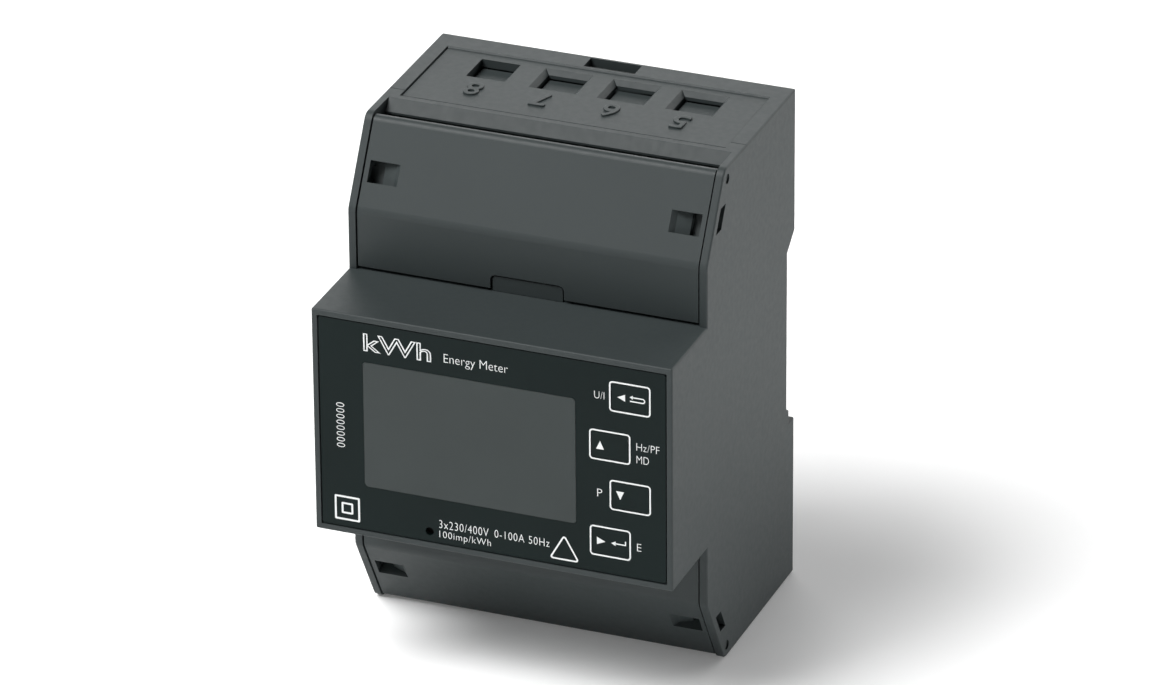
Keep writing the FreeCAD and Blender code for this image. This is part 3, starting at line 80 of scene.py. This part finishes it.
class Surface:
    """A principled material and the few node recipes that the meter needs."""

    def __init__(self, name, colour, roughness, metallic=0.0):
        self.material = bpy.data.materials.new(name)
        self.material.use_nodes = True
        self.tree = self.material.node_tree
        self.tree.nodes.clear()
        self.shader = self.add("ShaderNodeBsdfPrincipled")
        output = self.add("ShaderNodeOutputMaterial")
        self.link(self.shader.outputs["BSDF"], output.inputs["Surface"])
        self.colour = (*colour, 1.0)
        self.roughness = roughness
        self.shader.inputs["Base Color"].default_value = self.colour
        self.shader.inputs["Roughness"].default_value = roughness
        self.shader.inputs["Metallic"].default_value = metallic
        self.shader.inputs["Specular IOR Level"].default_value = 0.5 if metallic else 0.3
        self.place = self.add("ShaderNodeTexCoord").outputs["Object"]

    def add(self, kind, **settings):
        node = self.tree.nodes.new(kind)
        for key, value in settings.items():
            setattr(node, key, value)
        return node

    def link(self, source, target):
        self.tree.links.new(source, target)

    def set(self, **values):
        for key, value in values.items():
            self.shader.inputs[key.replace("_", " ")].default_value = value
        return self

    def stretched(self, scale):
        mapping = self.add("ShaderNodeMapping")
        mapping.inputs["Scale"].default_value = scale
        self.link(self.place, mapping.inputs["Vector"])
        return mapping.outputs["Vector"]

    def noise(self, size, detail=2.0, place=None, roughness=0.5):
        """Noise whose features are about size metres across."""
        node = self.add("ShaderNodeTexNoise")
        node.inputs["Scale"].default_value = 1.0 / size
        node.inputs["Detail"].default_value = detail
        node.inputs["Roughness"].default_value = roughness
        self.link(place or self.place, node.inputs["Vector"])
        return node.outputs["Fac"]

    def spread(self, source, low, high, source_low=0.3, source_high=0.7):
        """Maps the source's range, by default a noise's usual one, to low and high."""
        node = self.add("ShaderNodeMapRange")
        for key, value in (("From Min", source_low), ("From Max", source_high),
                           ("To Min", low), ("To Max", high)):
            node.inputs[key].default_value = value
        self.link(source, node.inputs["Value"])
        return node.outputs["Result"]

    def blend(self, factor, first, second):
        """Colour between two colours, each a triple or another node's output."""
        node = self.add("ShaderNodeMix", data_type="RGBA")
        self.link(factor, node.inputs["Factor"])
        for socket, colour in ((node.inputs[6], first), (node.inputs[7], second)):
            if isinstance(colour, tuple):
                socket.default_value = (*colour[:3], 1.0)
            else:
                self.link(colour, socket)
        return node.outputs[2]

    def vary(self, size, amount, source=None):
        """Slow drift of the colour, such as a moulding shows."""
        low = tuple(c * (1 - amount) for c in self.colour[:3])
        high = tuple(c * (1 + amount) for c in self.colour[:3])
        factor = self.spread(source or self.noise(size), 0.0, 1.0)
        self.paint(self.blend(factor, low, high))
        return self

    def paint(self, colour):
        """Takes the base colour from another node."""
        self.link(colour, self.shader.inputs["Base Color"])
        return self

    def gloss(self, source, amount):
        """Varies the roughness about its own value."""
        low, high = self.roughness - amount, self.roughness + amount
        self.link(self.spread(source, low, high), self.shader.inputs["Roughness"])
        return self

    def bump(self, source, height):
        """Relief of a height in metres."""
        node = self.add("ShaderNodeBump")
        node.inputs["Strength"].default_value = 1.0
        node.inputs["Distance"].default_value = height
        self.link(source, node.inputs["Height"])
        self.link(node.outputs["Normal"], self.shader.inputs["Normal"])
        return self


def moulded(name, colour, roughness=0.5, grain=0.28, depth=0.010, drift=0.03):
    """Injection-moulded plastic with a fine spark-eroded texture."""
    surface = Surface(name, colour, roughness)
    fine = surface.noise(grain * MM, 3.0, roughness=0.6)
    cloud = surface.noise(24 * MM, 2.0)
    surface.vary(24 * MM, drift, cloud)
    surface.gloss(surface.noise(1.2 * MM, 3.0), 0.03)
    surface.bump(fine, depth * MM)
    return surface


def metal(name, colour, roughness, scratch=(1, 1, 1), size=0.6, depth=0.006, drift=0.12):
    """Plated or drawn metal; scratch stretches its marks along an axis."""
    surface = Surface(name, colour, roughness, 1.0)
    marks = surface.noise(size * MM, 4.0, surface.stretched(scratch), 0.65)
    surface.vary(5 * MM, drift)
    surface.gloss(marks, 0.10)
    surface.bump(marks, depth * MM)
    return surface


def board(name):
    """Solder mask over traces, with the drill marks of the vias."""
    mask, trace, tin = (0.010, 0.085, 0.035), (0.022, 0.150, 0.060), (0.55, 0.56, 0.54)
    surface = Surface(name, mask, 0.35)
    cells = surface.add("ShaderNodeTexVoronoi", feature="DISTANCE_TO_EDGE")
    cells.inputs["Scale"].default_value = 1 / (3.2 * MM)
    surface.link(surface.place, cells.inputs["Vector"])
    lines = surface.spread(cells.outputs["Distance"], 1.0, 0.0, 0.05, 0.09)
    vias = surface.add("ShaderNodeTexVoronoi")
    vias.inputs["Scale"].default_value = 1 / (2.6 * MM)
    surface.link(surface.place, vias.inputs["Vector"])
    dots = surface.spread(vias.outputs["Distance"], 1.0, 0.0, 0.11, 0.13)
    surface.paint(surface.blend(dots, surface.blend(lines, mask, trace), tin))
    surface.bump(lines, 0.02 * MM)
    return surface


HOUSING = (0.0320, 0.0400, 0.0408)

surfaces = {
    "housing_plastic": moulded("housing_grey", HOUSING, 0.55),
    "base_plastic": moulded("base_grey", (0.0295, 0.0365, 0.0375), 0.55),
    "block_plastic": moulded("block_grey", (0.0315, 0.0395, 0.0402), 0.55),
    "cover_plastic": moulded("cover_grey", (0.0315, 0.0395, 0.0402), 0.5, depth=0.008),
    "frame_plastic": moulded("frame_white", (0.55, 0.56, 0.55), 0.5),
    "header_plastic": moulded("header_black", (0.018, 0.018, 0.019), 0.4),
    "clip_plastic": moulded("clip_black", (0.020, 0.022, 0.023), 0.42),
    "comms_plastic": moulded("comms_green", (0.035, 0.210, 0.085), 0.4),
    "chip_resin": moulded("chip_black", (0.014, 0.014, 0.015), 0.55, 0.15),
    "elastomer": moulded("mat_rubber", (0.30, 0.31, 0.32), 0.75, 0.2),
    "diffuser": moulded("backlight_white", (0.70, 0.74, 0.68), 0.6, 0.5),
    "ring_tape": moulded("ring_tape_yellow", (0.42, 0.26, 0.045), 0.45, 0.6, 0.03),
    "disc_coating": moulded("disc_blue", (0.030, 0.090, 0.300), 0.35, 0.4, 0.02),
    "spacer_brass": metal("spacer_brass", (0.62, 0.46, 0.20), 0.30),
    "zinc_steel": metal("zinc_steel", (0.52, 0.53, 0.55), 0.32),
    "core_iron": metal("core_iron", (0.20, 0.19, 0.18), 0.45, (1, 30, 1), 3.0, 0.04),
    "can_aluminium": metal("can_aluminium", (0.60, 0.61, 0.62), 0.28, (1, 25, 1), 4.0),
    "cell_steel": metal("cell_steel", (0.62, 0.61, 0.58), 0.22),
    "spring_steel": metal("spring_steel", (0.48, 0.49, 0.50), 0.25),
    "tinned_wire": metal("tinned_wire", (0.66, 0.66, 0.65), 0.25),
    "bar_copper": metal("bar_copper", (0.72, 0.34, 0.20), 0.30, (12, 12, 1), 2.0),
    "cage_steel": metal("cage_steel", (0.40, 0.41, 0.42), 0.38, (1, 1, 10), 1.5),
    "circuit_board": board("circuit_board"),
}


def film():
    """Dark polyester overlay with a fine satin coat."""
    surface = Surface("film_black", (0.0045, 0.0102, 0.0100), 0.42)
    surface.set(Specular_IOR_Level=0.12)
    surface.vary(18 * MM, 0.08)
    surface.gloss(surface.noise(2.5 * MM, 3.0), 0.04)
    surface.bump(surface.noise(0.18 * MM, 2.0), 0.003 * MM)
    return surface


def window():
    """Smoked acrylic over the display, through which the cell shows faintly."""
    surface = Surface("window_smoke", (0.035, 0.0445, 0.0440), 0.4)
    surface.set(Alpha=0.85, Specular_IOR_Level=0.35)
    surface.vary(20 * MM, 0.05)
    surface.bump(surface.noise(2.5 * MM, 1.0), 0.0008 * MM)
    return surface


def cell_glass():
    """Grey-green liquid-crystal cell, very faintly mottled."""
    surface = Surface("cell_glass", (0.128, 0.155, 0.150), 0.35)
    surface.vary(0.5 * MM, 0.012, surface.noise(0.5 * MM, 0.0))
    surface.gloss(surface.noise(4 * MM), 0.03)
    return surface


def resin(name, colour, roughness):
    """Clear or tinted lens."""
    surface = Surface(name, colour, roughness)
    surface.vary(1.2 * MM, 0.15)
    surface.bump(surface.noise(0.4 * MM), 0.004 * MM)
    return surface


def keycap():
    """Key caps share the overlay's colour and have a finer satin finish."""
    surface = Surface("key_black", (0.0045, 0.0102, 0.0100), 0.45)
    surface.set(Specular_IOR_Level=0.12)
    surface.vary(4 * MM, 0.08)
    surface.gloss(surface.noise(1.5 * MM, 3.0), 0.04)
    surface.bump(surface.noise(0.18 * MM, 2.0), 0.004 * MM)
    return surface


def ink():
    """White screen print, a little uneven at its own scale."""
    surface = Surface("print_white", (0.78, 0.80, 0.80), 0.55)
    surface.vary(0.4 * MM, 0.05)
    surface.bump(surface.noise(0.12 * MM), 0.002 * MM)
    return surface


surfaces["plate_film"] = film()
surfaces["window_acrylic"] = window()
surfaces["display_glass"] = cell_glass()
surfaces["key_plastic"] = keycap()
surfaces["led_epoxy"] = resin("led_red", (0.30, 0.012, 0.010), 0.2)
# Painted shade: the light pipe gets a near-black, barely shiny colour so that its face in its hole
# shows no light and reads as shadow.
surfaces["pipe_acrylic"] = resin("pipe_painted_shade", (0.0008, 0.0005, 0.0005), 0.6)
surfaces["pipe_acrylic"].set(Specular_IOR_Level=0.05)
white_ink = ink()

SLOT_OF = {part["node"]: part["material_slot"] for part in frame["record"]["subparts"]}
for name, thing in nodes.items():
    thing.data.materials.clear()
    thing.data.materials.append(surfaces[SLOT_OF[name]].material)


def add_piece(name, shape, surface, body):
    """Makes one riding piece from a bmesh, which it frees."""
    mesh = bpy.data.meshes.new(name)
    shape.to_mesh(mesh)
    shape.free()
    mesh.materials.append(surface.material)
    piece = bpy.data.objects.new(name, mesh)
    bpy.context.scene.collection.objects.link(piece)
    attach(piece, body)


# ---------------------------------------------------------------- printed and raised marks

FACING_FRONT = Matrix(((1, 0, 0), (0, 0, -1), (0, 1, 0)))
FACING_UP = Matrix(((-1, 0, 0), (0, -1, 0), (0, 0, 1)))
FACING_DOWN = Matrix(((1, 0, 0), (0, -1, 0), (0, 0, -1)))


def letters(text, stroke=0.0, outlined=False, rounding=0.0, spacing=1.0):
    """Closed mesh of a line of text, fitted to the box from 0,0,-1 to 1,1,1."""
    curve = bpy.data.curves.new("letters", "FONT")
    curve.body = text
    curve.space_character = spacing
    curve.resolution_u = 4
    curve.offset = stroke
    curve.bevel_depth = rounding
    if outlined:
        curve.fill_mode = "NONE"
        curve.bevel_resolution = 1
    else:
        curve.extrude = 0.1
        curve.bevel_resolution = 0
    holder = bpy.data.objects.new("letters", curve)
    bpy.context.scene.collection.objects.link(holder)
    bpy.context.view_layer.update()
    shown = holder.evaluated_get(bpy.context.evaluated_depsgraph_get())
    made = bpy.data.meshes.new_from_object(shown)
    bpy.data.objects.remove(holder)
    points = [v.co for v in made.vertices]
    low = Vector([min(p[i] for p in points) for i in range(3)])
    high = Vector([max(p[i] for p in points) for i in range(3)])
    for vertex in made.vertices:
        share = [(vertex.co[i] - low[i]) / (high[i] - low[i]) for i in range(3)]
        vertex.co = (share[0], share[1], 2 * share[2] - 1)
    return made


class Marks:
    """Marks gathered in one mesh, drawn in millimetres on a flat face."""

    def __init__(self, name, turn, face, thick):
        self.name = name
        self.turn = turn
        self.face = face
        self.thick = thick
        self.origin = Vector((0, 0, 0))
        self.mesh = bmesh.new()

    def start_from(self, point):
        """The marks that follow are measured from this point of the face."""
        self.origin = Vector((*point, 0))

    def text(self, words, box, upward=False, **style):
        """Text stretched to the box: left, right, bottom, top. It can read upwards."""
        left, right, bottom, top = box
        made = letters(words, **style)
        fresh = bmesh.new()
        fresh.from_mesh(made)
        bpy.data.meshes.remove(made)
        bmesh.ops.remove_doubles(fresh, verts=fresh.verts, dist=1e-5)
        for vertex in fresh.verts:
            u, v, w = vertex.co
            if upward:
                u, v = 1 - v, u
            vertex.co = (left + u * (right - left), bottom + v * (top - bottom), w)
        self.merge(fresh)

    def ring(self, outer, inner):
        """Band between two closed lines with the same number of points."""
        fresh = bmesh.new()
        rows = [[fresh.verts.new((u, v, w)) for u, v in line]
                for line, w in ((outer, -1), (outer, 1), (inner, 1), (inner, -1))]
        count = len(outer)
        for i in range(count):
            j = (i + 1) % count
            for a, b in zip(rows, rows[1:] + rows[:1]):
                fresh.faces.new((a[i], a[j], b[j], b[i]))
        self.merge(fresh)

    def patch(self, line):
        """Filled outline."""
        fresh = bmesh.new()
        low = [fresh.verts.new((u, v, -1)) for u, v in line]
        high = [fresh.verts.new((u, v, 1)) for u, v in line]
        fresh.faces.new(low[::-1])
        fresh.faces.new(high)
        count = len(line)
        for i in range(count):
            j = (i + 1) % count
            fresh.faces.new((low[i], low[j], high[j], high[i]))
        self.merge(fresh)

    def merge(self, fresh):
        bmesh.ops.translate(fresh, verts=fresh.verts, vec=self.origin)
        bmesh.ops.recalc_face_normals(fresh, faces=fresh.faces)
        made = bpy.data.meshes.new("fresh")
        fresh.to_mesh(made)
        fresh.free()
        self.mesh.from_mesh(made)
        bpy.data.meshes.remove(made)

    def finish(self, surface, body):
        """Places the marks on the face, thick to either side of it, as one piece."""
        for vertex in self.mesh.verts:
            u, v, w = vertex.co
            vertex.co = self.turn @ Vector((u * MM, v * MM, 0)) + self.face
            vertex.co += self.turn @ Vector((0, 0, w * self.thick))
        add_piece(self.name, self.mesh, surface, body)


def rounded_box(left, right, bottom, top, radius, steps=5):
    """Closed line of a rectangle with rounded corners."""
    line = []
    corners = ((right - radius, top - radius, 0), (left + radius, top - radius, 90),
               (left + radius, bottom + radius, 180), (right - radius, bottom + radius, 270))
    for u, v, start in corners:
        for step in range(steps + 1):
            angle = math.radians(start + 90 * step / steps)
            line.append((u + radius * math.cos(angle), v + radius * math.sin(angle)))
    return line


def grown(box, margin, radius):
    """Rounded box that stands off all round from a box, its corners' radius grown with it."""
    left, right, bottom, top = box
    radius += margin
    return rounded_box(left - margin, right + margin, bottom - margin, top + margin, radius)


def corner_mm(node, right, top):
    """A corner of a CAD node's front in millimetres; right and top are 0 or 1."""
    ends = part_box(node)
    return ends[right].x / MM, ends[top].z / MM


def middle_mm(node):
    """The middle of a CAD node's front in millimetres."""
    low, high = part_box(node)
    return (low.x + high.x) / 2 / MM, (low.z + high.z) / 2 / MM


def line_band(points, width):
    """Outline of a bent line of constant width, mitred at its corners."""
    sides = ([], [])
    for i, point in enumerate(points):
        here = Vector(point)
        before = (here - Vector(points[i - 1])).normalized() if i else None
        after = (Vector(points[i + 1]) - here).normalized() if i + 1 < len(points) else None
        if before is None:
            before = after
        if after is None:
            after = before
        middle = (before + after).normalized()
        normal = Vector((-middle.y, middle.x))
        reach = width / 2 / max(0.3, normal.dot(Vector((-before.y, before.x))))
        sides[0].append(tuple(here + normal * reach))
        sides[1].append(tuple(here - normal * reach))
    return sides[0] + sides[1][::-1]


CAP_HALF_WIDTH = 3.56
CAP_HALF_HEIGHT = 2.64
CAP_CORNER = 0.3
OUTLINE_START = 0.13
OUTLINE_END = 0.42
plate_face = Vector((0, PLATE_FACE, 0))

outlines = Marks("print_key_outlines", FACING_FRONT, plate_face, PRINT)
cap = (-CAP_HALF_WIDTH, CAP_HALF_WIDTH, -CAP_HALF_HEIGHT, CAP_HALF_HEIGHT)
for key in ("key_back", "key_up", "key_down", "key_enter"):
    outlines.start_from(middle_mm(key))
    outlines.ring(grown(cap, OUTLINE_END, CAP_CORNER), grown(cap, OUTLINE_START, CAP_CORNER))
outlines.finish(white_ink, "meter")

# A stroke below 0 thins the letters.
LEGEND = {"stroke": -0.018}
RATING = {"stroke": -0.014, "spacing": 1.12}
words = Marks("print_words", FACING_FRONT, plate_face, PRINT)
words.start_from(corner_mm("lcd_window", 0, 1))
words.text("kWh", (0.2, 13.5, 2.3, 5.9), outlined=True, rounding=0.020)
words.text("Energy Meter", (15.95, 28.4, 2.2, 4.5), stroke=-0.016)
words.start_from(middle_mm("key_back"))
words.text("U/I", (-6.85, -4.9, -0.93, 0.53), **LEGEND)
words.start_from(middle_mm("key_up"))
words.text("Hz/PF", (5.13, 9.55, 0.15, 1.65), **LEGEND)
words.text("MD", (5.15, 7.52, -2.38, -0.9), **LEGEND)
words.start_from(middle_mm("key_down"))
words.text("P", (-6.38, -5.44, -0.8, 0.75), **LEGEND)
words.start_from(middle_mm("key_enter"))
words.text("E", (5.17, 6.0, -0.73, 0.79), **LEGEND)
words.start_from(middle_mm("led_light_pipe"))
words.text("3x230/400V", (1.93, 11.61, 1.09, 2.74), **RATING)
words.text("0-100A 50Hz", (12.78, 23.53, 1.19, 2.77), **RATING)
words.text("100imp/kWh", (1.93, 12.03, -1.25, 0.54), stroke=-0.014, spacing=1.1)
words.start_from(corner_mm("face_plate", 0, 0))
words.text("00000000", (3.15, 4.75, 16.2, 25.3), upward=True, spacing=1.12, **LEGEND)
words.finish(white_ink, "meter")

SQUARE_LEFT = 2.45
SQUARE_BOTTOM = 1.25
SQUARE_SIDE = 5.0
SQUARE_LINE = 0.37
SQUARE_INSET = 1.35
signs = Marks("print_signs", FACING_FRONT, plate_face, PRINT)
signs.start_from(corner_mm("face_plate", 0, 0))
square = (SQUARE_LEFT, SQUARE_LEFT + SQUARE_SIDE, SQUARE_BOTTOM, SQUARE_BOTTOM + SQUARE_SIDE)
for inset in (0.0, SQUARE_INSET):
    signs.ring(grown(square, -inset, 0.25 + inset),
               grown(square, -inset - SQUARE_LINE, 0.1 + inset + SQUARE_LINE))


def triangle(apex, half, height, radius, steps=4):
    """Closed line of a triangle with rounded corners, apex up."""
    base = apex[1] - height
    corners = [Vector((apex[0] - half, base)), Vector((apex[0] + half, base)), Vector(apex)]
    line = []
    for i, corner in enumerate(corners):
        before = (corners[i - 1] - corner).normalized()
        after = (corners[(i + 1) % 3] - corner).normalized()
        half_angle = before.angle(after) / 2
        centre = corner + (before + after).normalized() * (radius / math.sin(half_angle))
        start = corner + before * (radius / math.tan(half_angle)) - centre
        end = corner + after * (radius / math.tan(half_angle)) - centre
        sweep = start.angle_signed(end)
        for step in range(steps + 1):
            turn = Matrix.Rotation(-sweep * step / steps, 2)
            line.append(tuple(centre + turn @ start))
    return line


signs.start_from(middle_mm("key_enter"))
signs.ring(triangle((-8.97, 0.02), 3.02, 5.33, 0.45), triangle((-8.97, -0.59), 2.5, 4.42, 0.2))
signs.finish(white_ink, "meter")


def arrow(head_tip, direction, length, half):
    """Small solid triangle, its tip at head_tip."""
    tip = Vector(head_tip)
    along = Vector(direction)
    across = Vector((-along.y, along.x))
    foot = tip - along * length
    return [tuple(tip), tuple(foot - across * half), tuple(foot + across * half)]


def key_icon(key, shapes):
    """Prints outlines on a key's cap; their points are measured from its middle."""
    marks = Marks(f"print_{key}", FACING_FRONT, Vector((0, KEY_FACE, 0)), PRINT)
    marks.start_from(middle_mm(key))
    for shape in shapes:
        marks.patch(shape)
    marks.finish(white_ink, key)


def hook_line(left, centre, bend):
    """Line that runs right, turns round a half circle and comes back below."""
    turn = []
    for degrees in range(0, 190, 10):
        angle = math.radians(degrees)
        turn.append((centre[0] + bend * math.sin(angle), centre[1] + bend * math.cos(angle)))
    return [(left[0], centre[1] + bend)] + turn + [(left[1], centre[1] - bend)]


LEFT, RIGHT, UP, DOWN = (-1, 0), (1, 0), (0, 1), (0, -1)
ICON_LINE = 0.22
key_icon("key_back", [
    arrow((-2.4, 0.03), LEFT, 1.5, 0.68),
    arrow((-0.02, 0.41), LEFT, 0.6, 0.4),
    line_band(hook_line((0.45, 0.03), (2.44, 0.01), 0.40), ICON_LINE),
])
key_icon("key_up", [arrow((-1.88, 0.8), UP, 1.66, 0.76)])
key_icon("key_down", [arrow((-1.95, -0.76), DOWN, 1.66, 0.76)])
key_icon("key_enter", [
    arrow((-0.98, 0), RIGHT, 1.62, 0.74),
    arrow((0.18, -0.03), LEFT, 0.84, 0.46),
    line_band([(0.9, -0.03), (2.94, -0.03), (2.94, 0.73)], ICON_LINE),
])

# The flap that closes each wire entry starts at this depth. The digits stand before it.
FLAP_FRONT = 16.0 * MM
RAISE = 0.17 * MM
DIGIT_HALF_WIDTH = 1.55
DIGIT_HALF_HEIGHT = 2.6
DIGIT_GAP = 4.6
DIGIT_SHIFTS = (0, -0.3, -0.4, -0.3)
NARROW_ONE = 0.7
row = FLAP_FRONT / MM - DIGIT_GAP
for block_name, turn, level, numbers in (
        ("upper_terminal_block", FACING_UP, TOP - RAISE, (5, 6, 7, 8)),
        ("lower_terminal_block", FACING_DOWN, cad_low.z + RAISE, (1, 2, 3, 4))):
    marks = Marks(f"digits_{block_name}", turn, Vector((0, 0, level)), RAISE)
    for number, shift in zip(numbers, DIGIT_SHIFTS):
        x = middle_mm(f"terminal_cage_{number}")[0] + shift
        marks.start_from((x * turn[0][0], row * turn[1][1]))
        half = DIGIT_HALF_WIDTH * (NARROW_ONE if number == 1 else 1)
        marks.text(str(number), (-half, half, -DIGIT_HALF_HEIGHT, DIGIT_HALF_HEIGHT), rounding=0.012)
    marks.finish(surfaces["block_plastic"], "meter")


SKIN = 0.05 * MM
FLAP_THICK = 1.2 * MM
FLAP_HALF = 3.45 * MM
NEUTRAL_FLAP_HALF = 3.5 * MM
NEUTRALS = (4, 8)
GUARD_BEVEL = 0.04 * MM


def add_guard(number):
    """Moulded skin over the flap that closes a wire entry."""
    low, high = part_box(f"terminal_cage_{number}")
    middle = (low.x + high.x) / 2
    half = (NEUTRAL_FLAP_HALF if number in NEUTRALS else FLAP_HALF) + SKIN
    outward = 1 if number > 4 else -1
    outer = high.z if outward > 0 else low.z
    across = (middle - half, middle + half)
    along = (FLAP_FRONT, high.y + SKIN)
    rise = (outer - outward * (FLAP_THICK + SKIN), outer + outward * SKIN)
    mesh = bmesh.new()
    for vertex in bmesh.ops.create_cube(mesh, size=1.0)["verts"]:
        share = vertex.co + Vector((0.5, 0.5, 0.5))
        vertex.co = [low_end + share[axis] * (high_end - low_end)
                     for axis, (low_end, high_end) in enumerate((across, along, rise))]
    bmesh.ops.recalc_face_normals(mesh, faces=mesh.faces)
    bmesh.ops.bevel(mesh, geom=mesh.edges, offset=GUARD_BEVEL, segments=1, affect="EDGES")
    add_piece(f"guard_{number}", mesh, surfaces["block_plastic"], f"cage_{number}")


for number in range(1, 9):
    add_guard(number)

# The clip's spring, a copy of the CAD spring with a mesh of its own, riding with the meter.
coil = bpy.data.objects.new("clip_coil", nodes["clip_spring"].data.copy())
bpy.context.scene.collection.objects.link(coil)
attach(coil, "meter")
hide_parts("clip_spring")
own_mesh(coil)


# ---------------------------------------------------------------- floor, light and camera

FLOOR_HALF = 6.0
FLOOR_DROP = 0.1 * MM


def add_floor():
    """White floor that glows a little, just below the meter."""
    half = FLOOR_HALF
    mesh = bpy.data.meshes.new("floor")
    corners = [(-half, -half, 0), (half, -half, 0), (half, half, 0), (-half, half, 0)]
    mesh.from_pydata(corners, [], [(0, 1, 2, 3)])
    floor = bpy.data.objects.new("floor", mesh)
    floor.location.z = cad_low.z - FLOOR_DROP
    bpy.context.scene.collection.objects.link(floor)
    surface = Surface("floor_white", (0.95, 0.95, 0.95), 0.9)
    surface.vary(60 * MM, 0.01)
    surface.set(Emission_Color=(1, 1, 1, 1), Emission_Strength=0.10)
    mesh.materials.append(surface.material)


def add_light(name, place, target, size, power):
    """Rectangular light of a size in metres and a power in watts, facing its target."""
    data = bpy.data.lights.new(name, "AREA")
    data.shape = "RECTANGLE"
    data.size, data.size_y = size
    data.energy = power
    light = bpy.data.objects.new(name, data)
    light.location = place
    light.rotation_mode = "QUATERNION"
    light.rotation_quaternion = (Vector(target) - Vector(place)).to_track_quat("-Z", "Y")
    bpy.context.scene.collection.objects.link(light)


def add_world(strength):
    """Even white light from all round."""
    world = bpy.data.worlds.new("studio")
    bpy.context.scene.world = world
    world.use_nodes = True
    background = world.node_tree.nodes["Background"]
    background.inputs["Color"].default_value = (1, 1, 1, 1)
    background.inputs["Strength"].default_value = strength


AZIMUTH, ELEVATION, ROLL = (math.radians(angle) for angle in (21.642, 26.691, 0.433))
DISTANCE = 1.5283
SHIFT_RIGHT = 0.00473
SHIFT_UP = 0.00597
FOCUS = Vector((0, 0.00025, 0.05))
SENSOR_WIDTH = 36
LENS = 256.7217


def add_camera():
    """Camera from its turn about Z, height above the horizon, roll and distance."""
    ahead = math.cos(ELEVATION)
    back = Vector((math.sin(AZIMUTH) * ahead, -math.cos(AZIMUTH) * ahead, math.sin(ELEVATION)))
    level = Vector((math.cos(AZIMUTH), math.sin(AZIMUTH), 0))
    upright = back.cross(level)
    right = math.cos(ROLL) * level - math.sin(ROLL) * upright
    up = math.sin(ROLL) * level + math.cos(ROLL) * upright
    data = bpy.data.cameras.new("camera")
    data.sensor_width = SENSOR_WIDTH
    data.lens = LENS
    data.clip_start, data.clip_end = 0.1, 20
    camera = bpy.data.objects.new("camera", data)
    place = FOCUS + right * SHIFT_RIGHT + up * SHIFT_UP + back * DISTANCE
    turn = Matrix((right, up, back)).transposed().to_4x4()
    camera.matrix_world = Matrix.Translation(place) @ turn
    bpy.context.scene.collection.objects.link(camera)
    bpy.context.scene.camera = camera


add_floor()
add_light("backdrop", (0.0, 2.0, 0.75), (0, 0, 0.3), (4.6, 1.4), 58)
add_light("key", (-0.9, -0.8, 1.9), (0, 0, 0.05), (1.2, 1.2), 65)
add_light("front", (-0.5, -1.9, 0.7), (0, 0, 0.05), (1.4, 0.9), 5)
add_light("low_fill", (1.5, 0.15, 0.13), (0, 0, 0.05), (1.0, 0.24), 6.5)
add_world(0.04)
add_camera()
bpy.context.scene.view_settings.view_transform = "Standard"
bpy.context.view_layer.update()
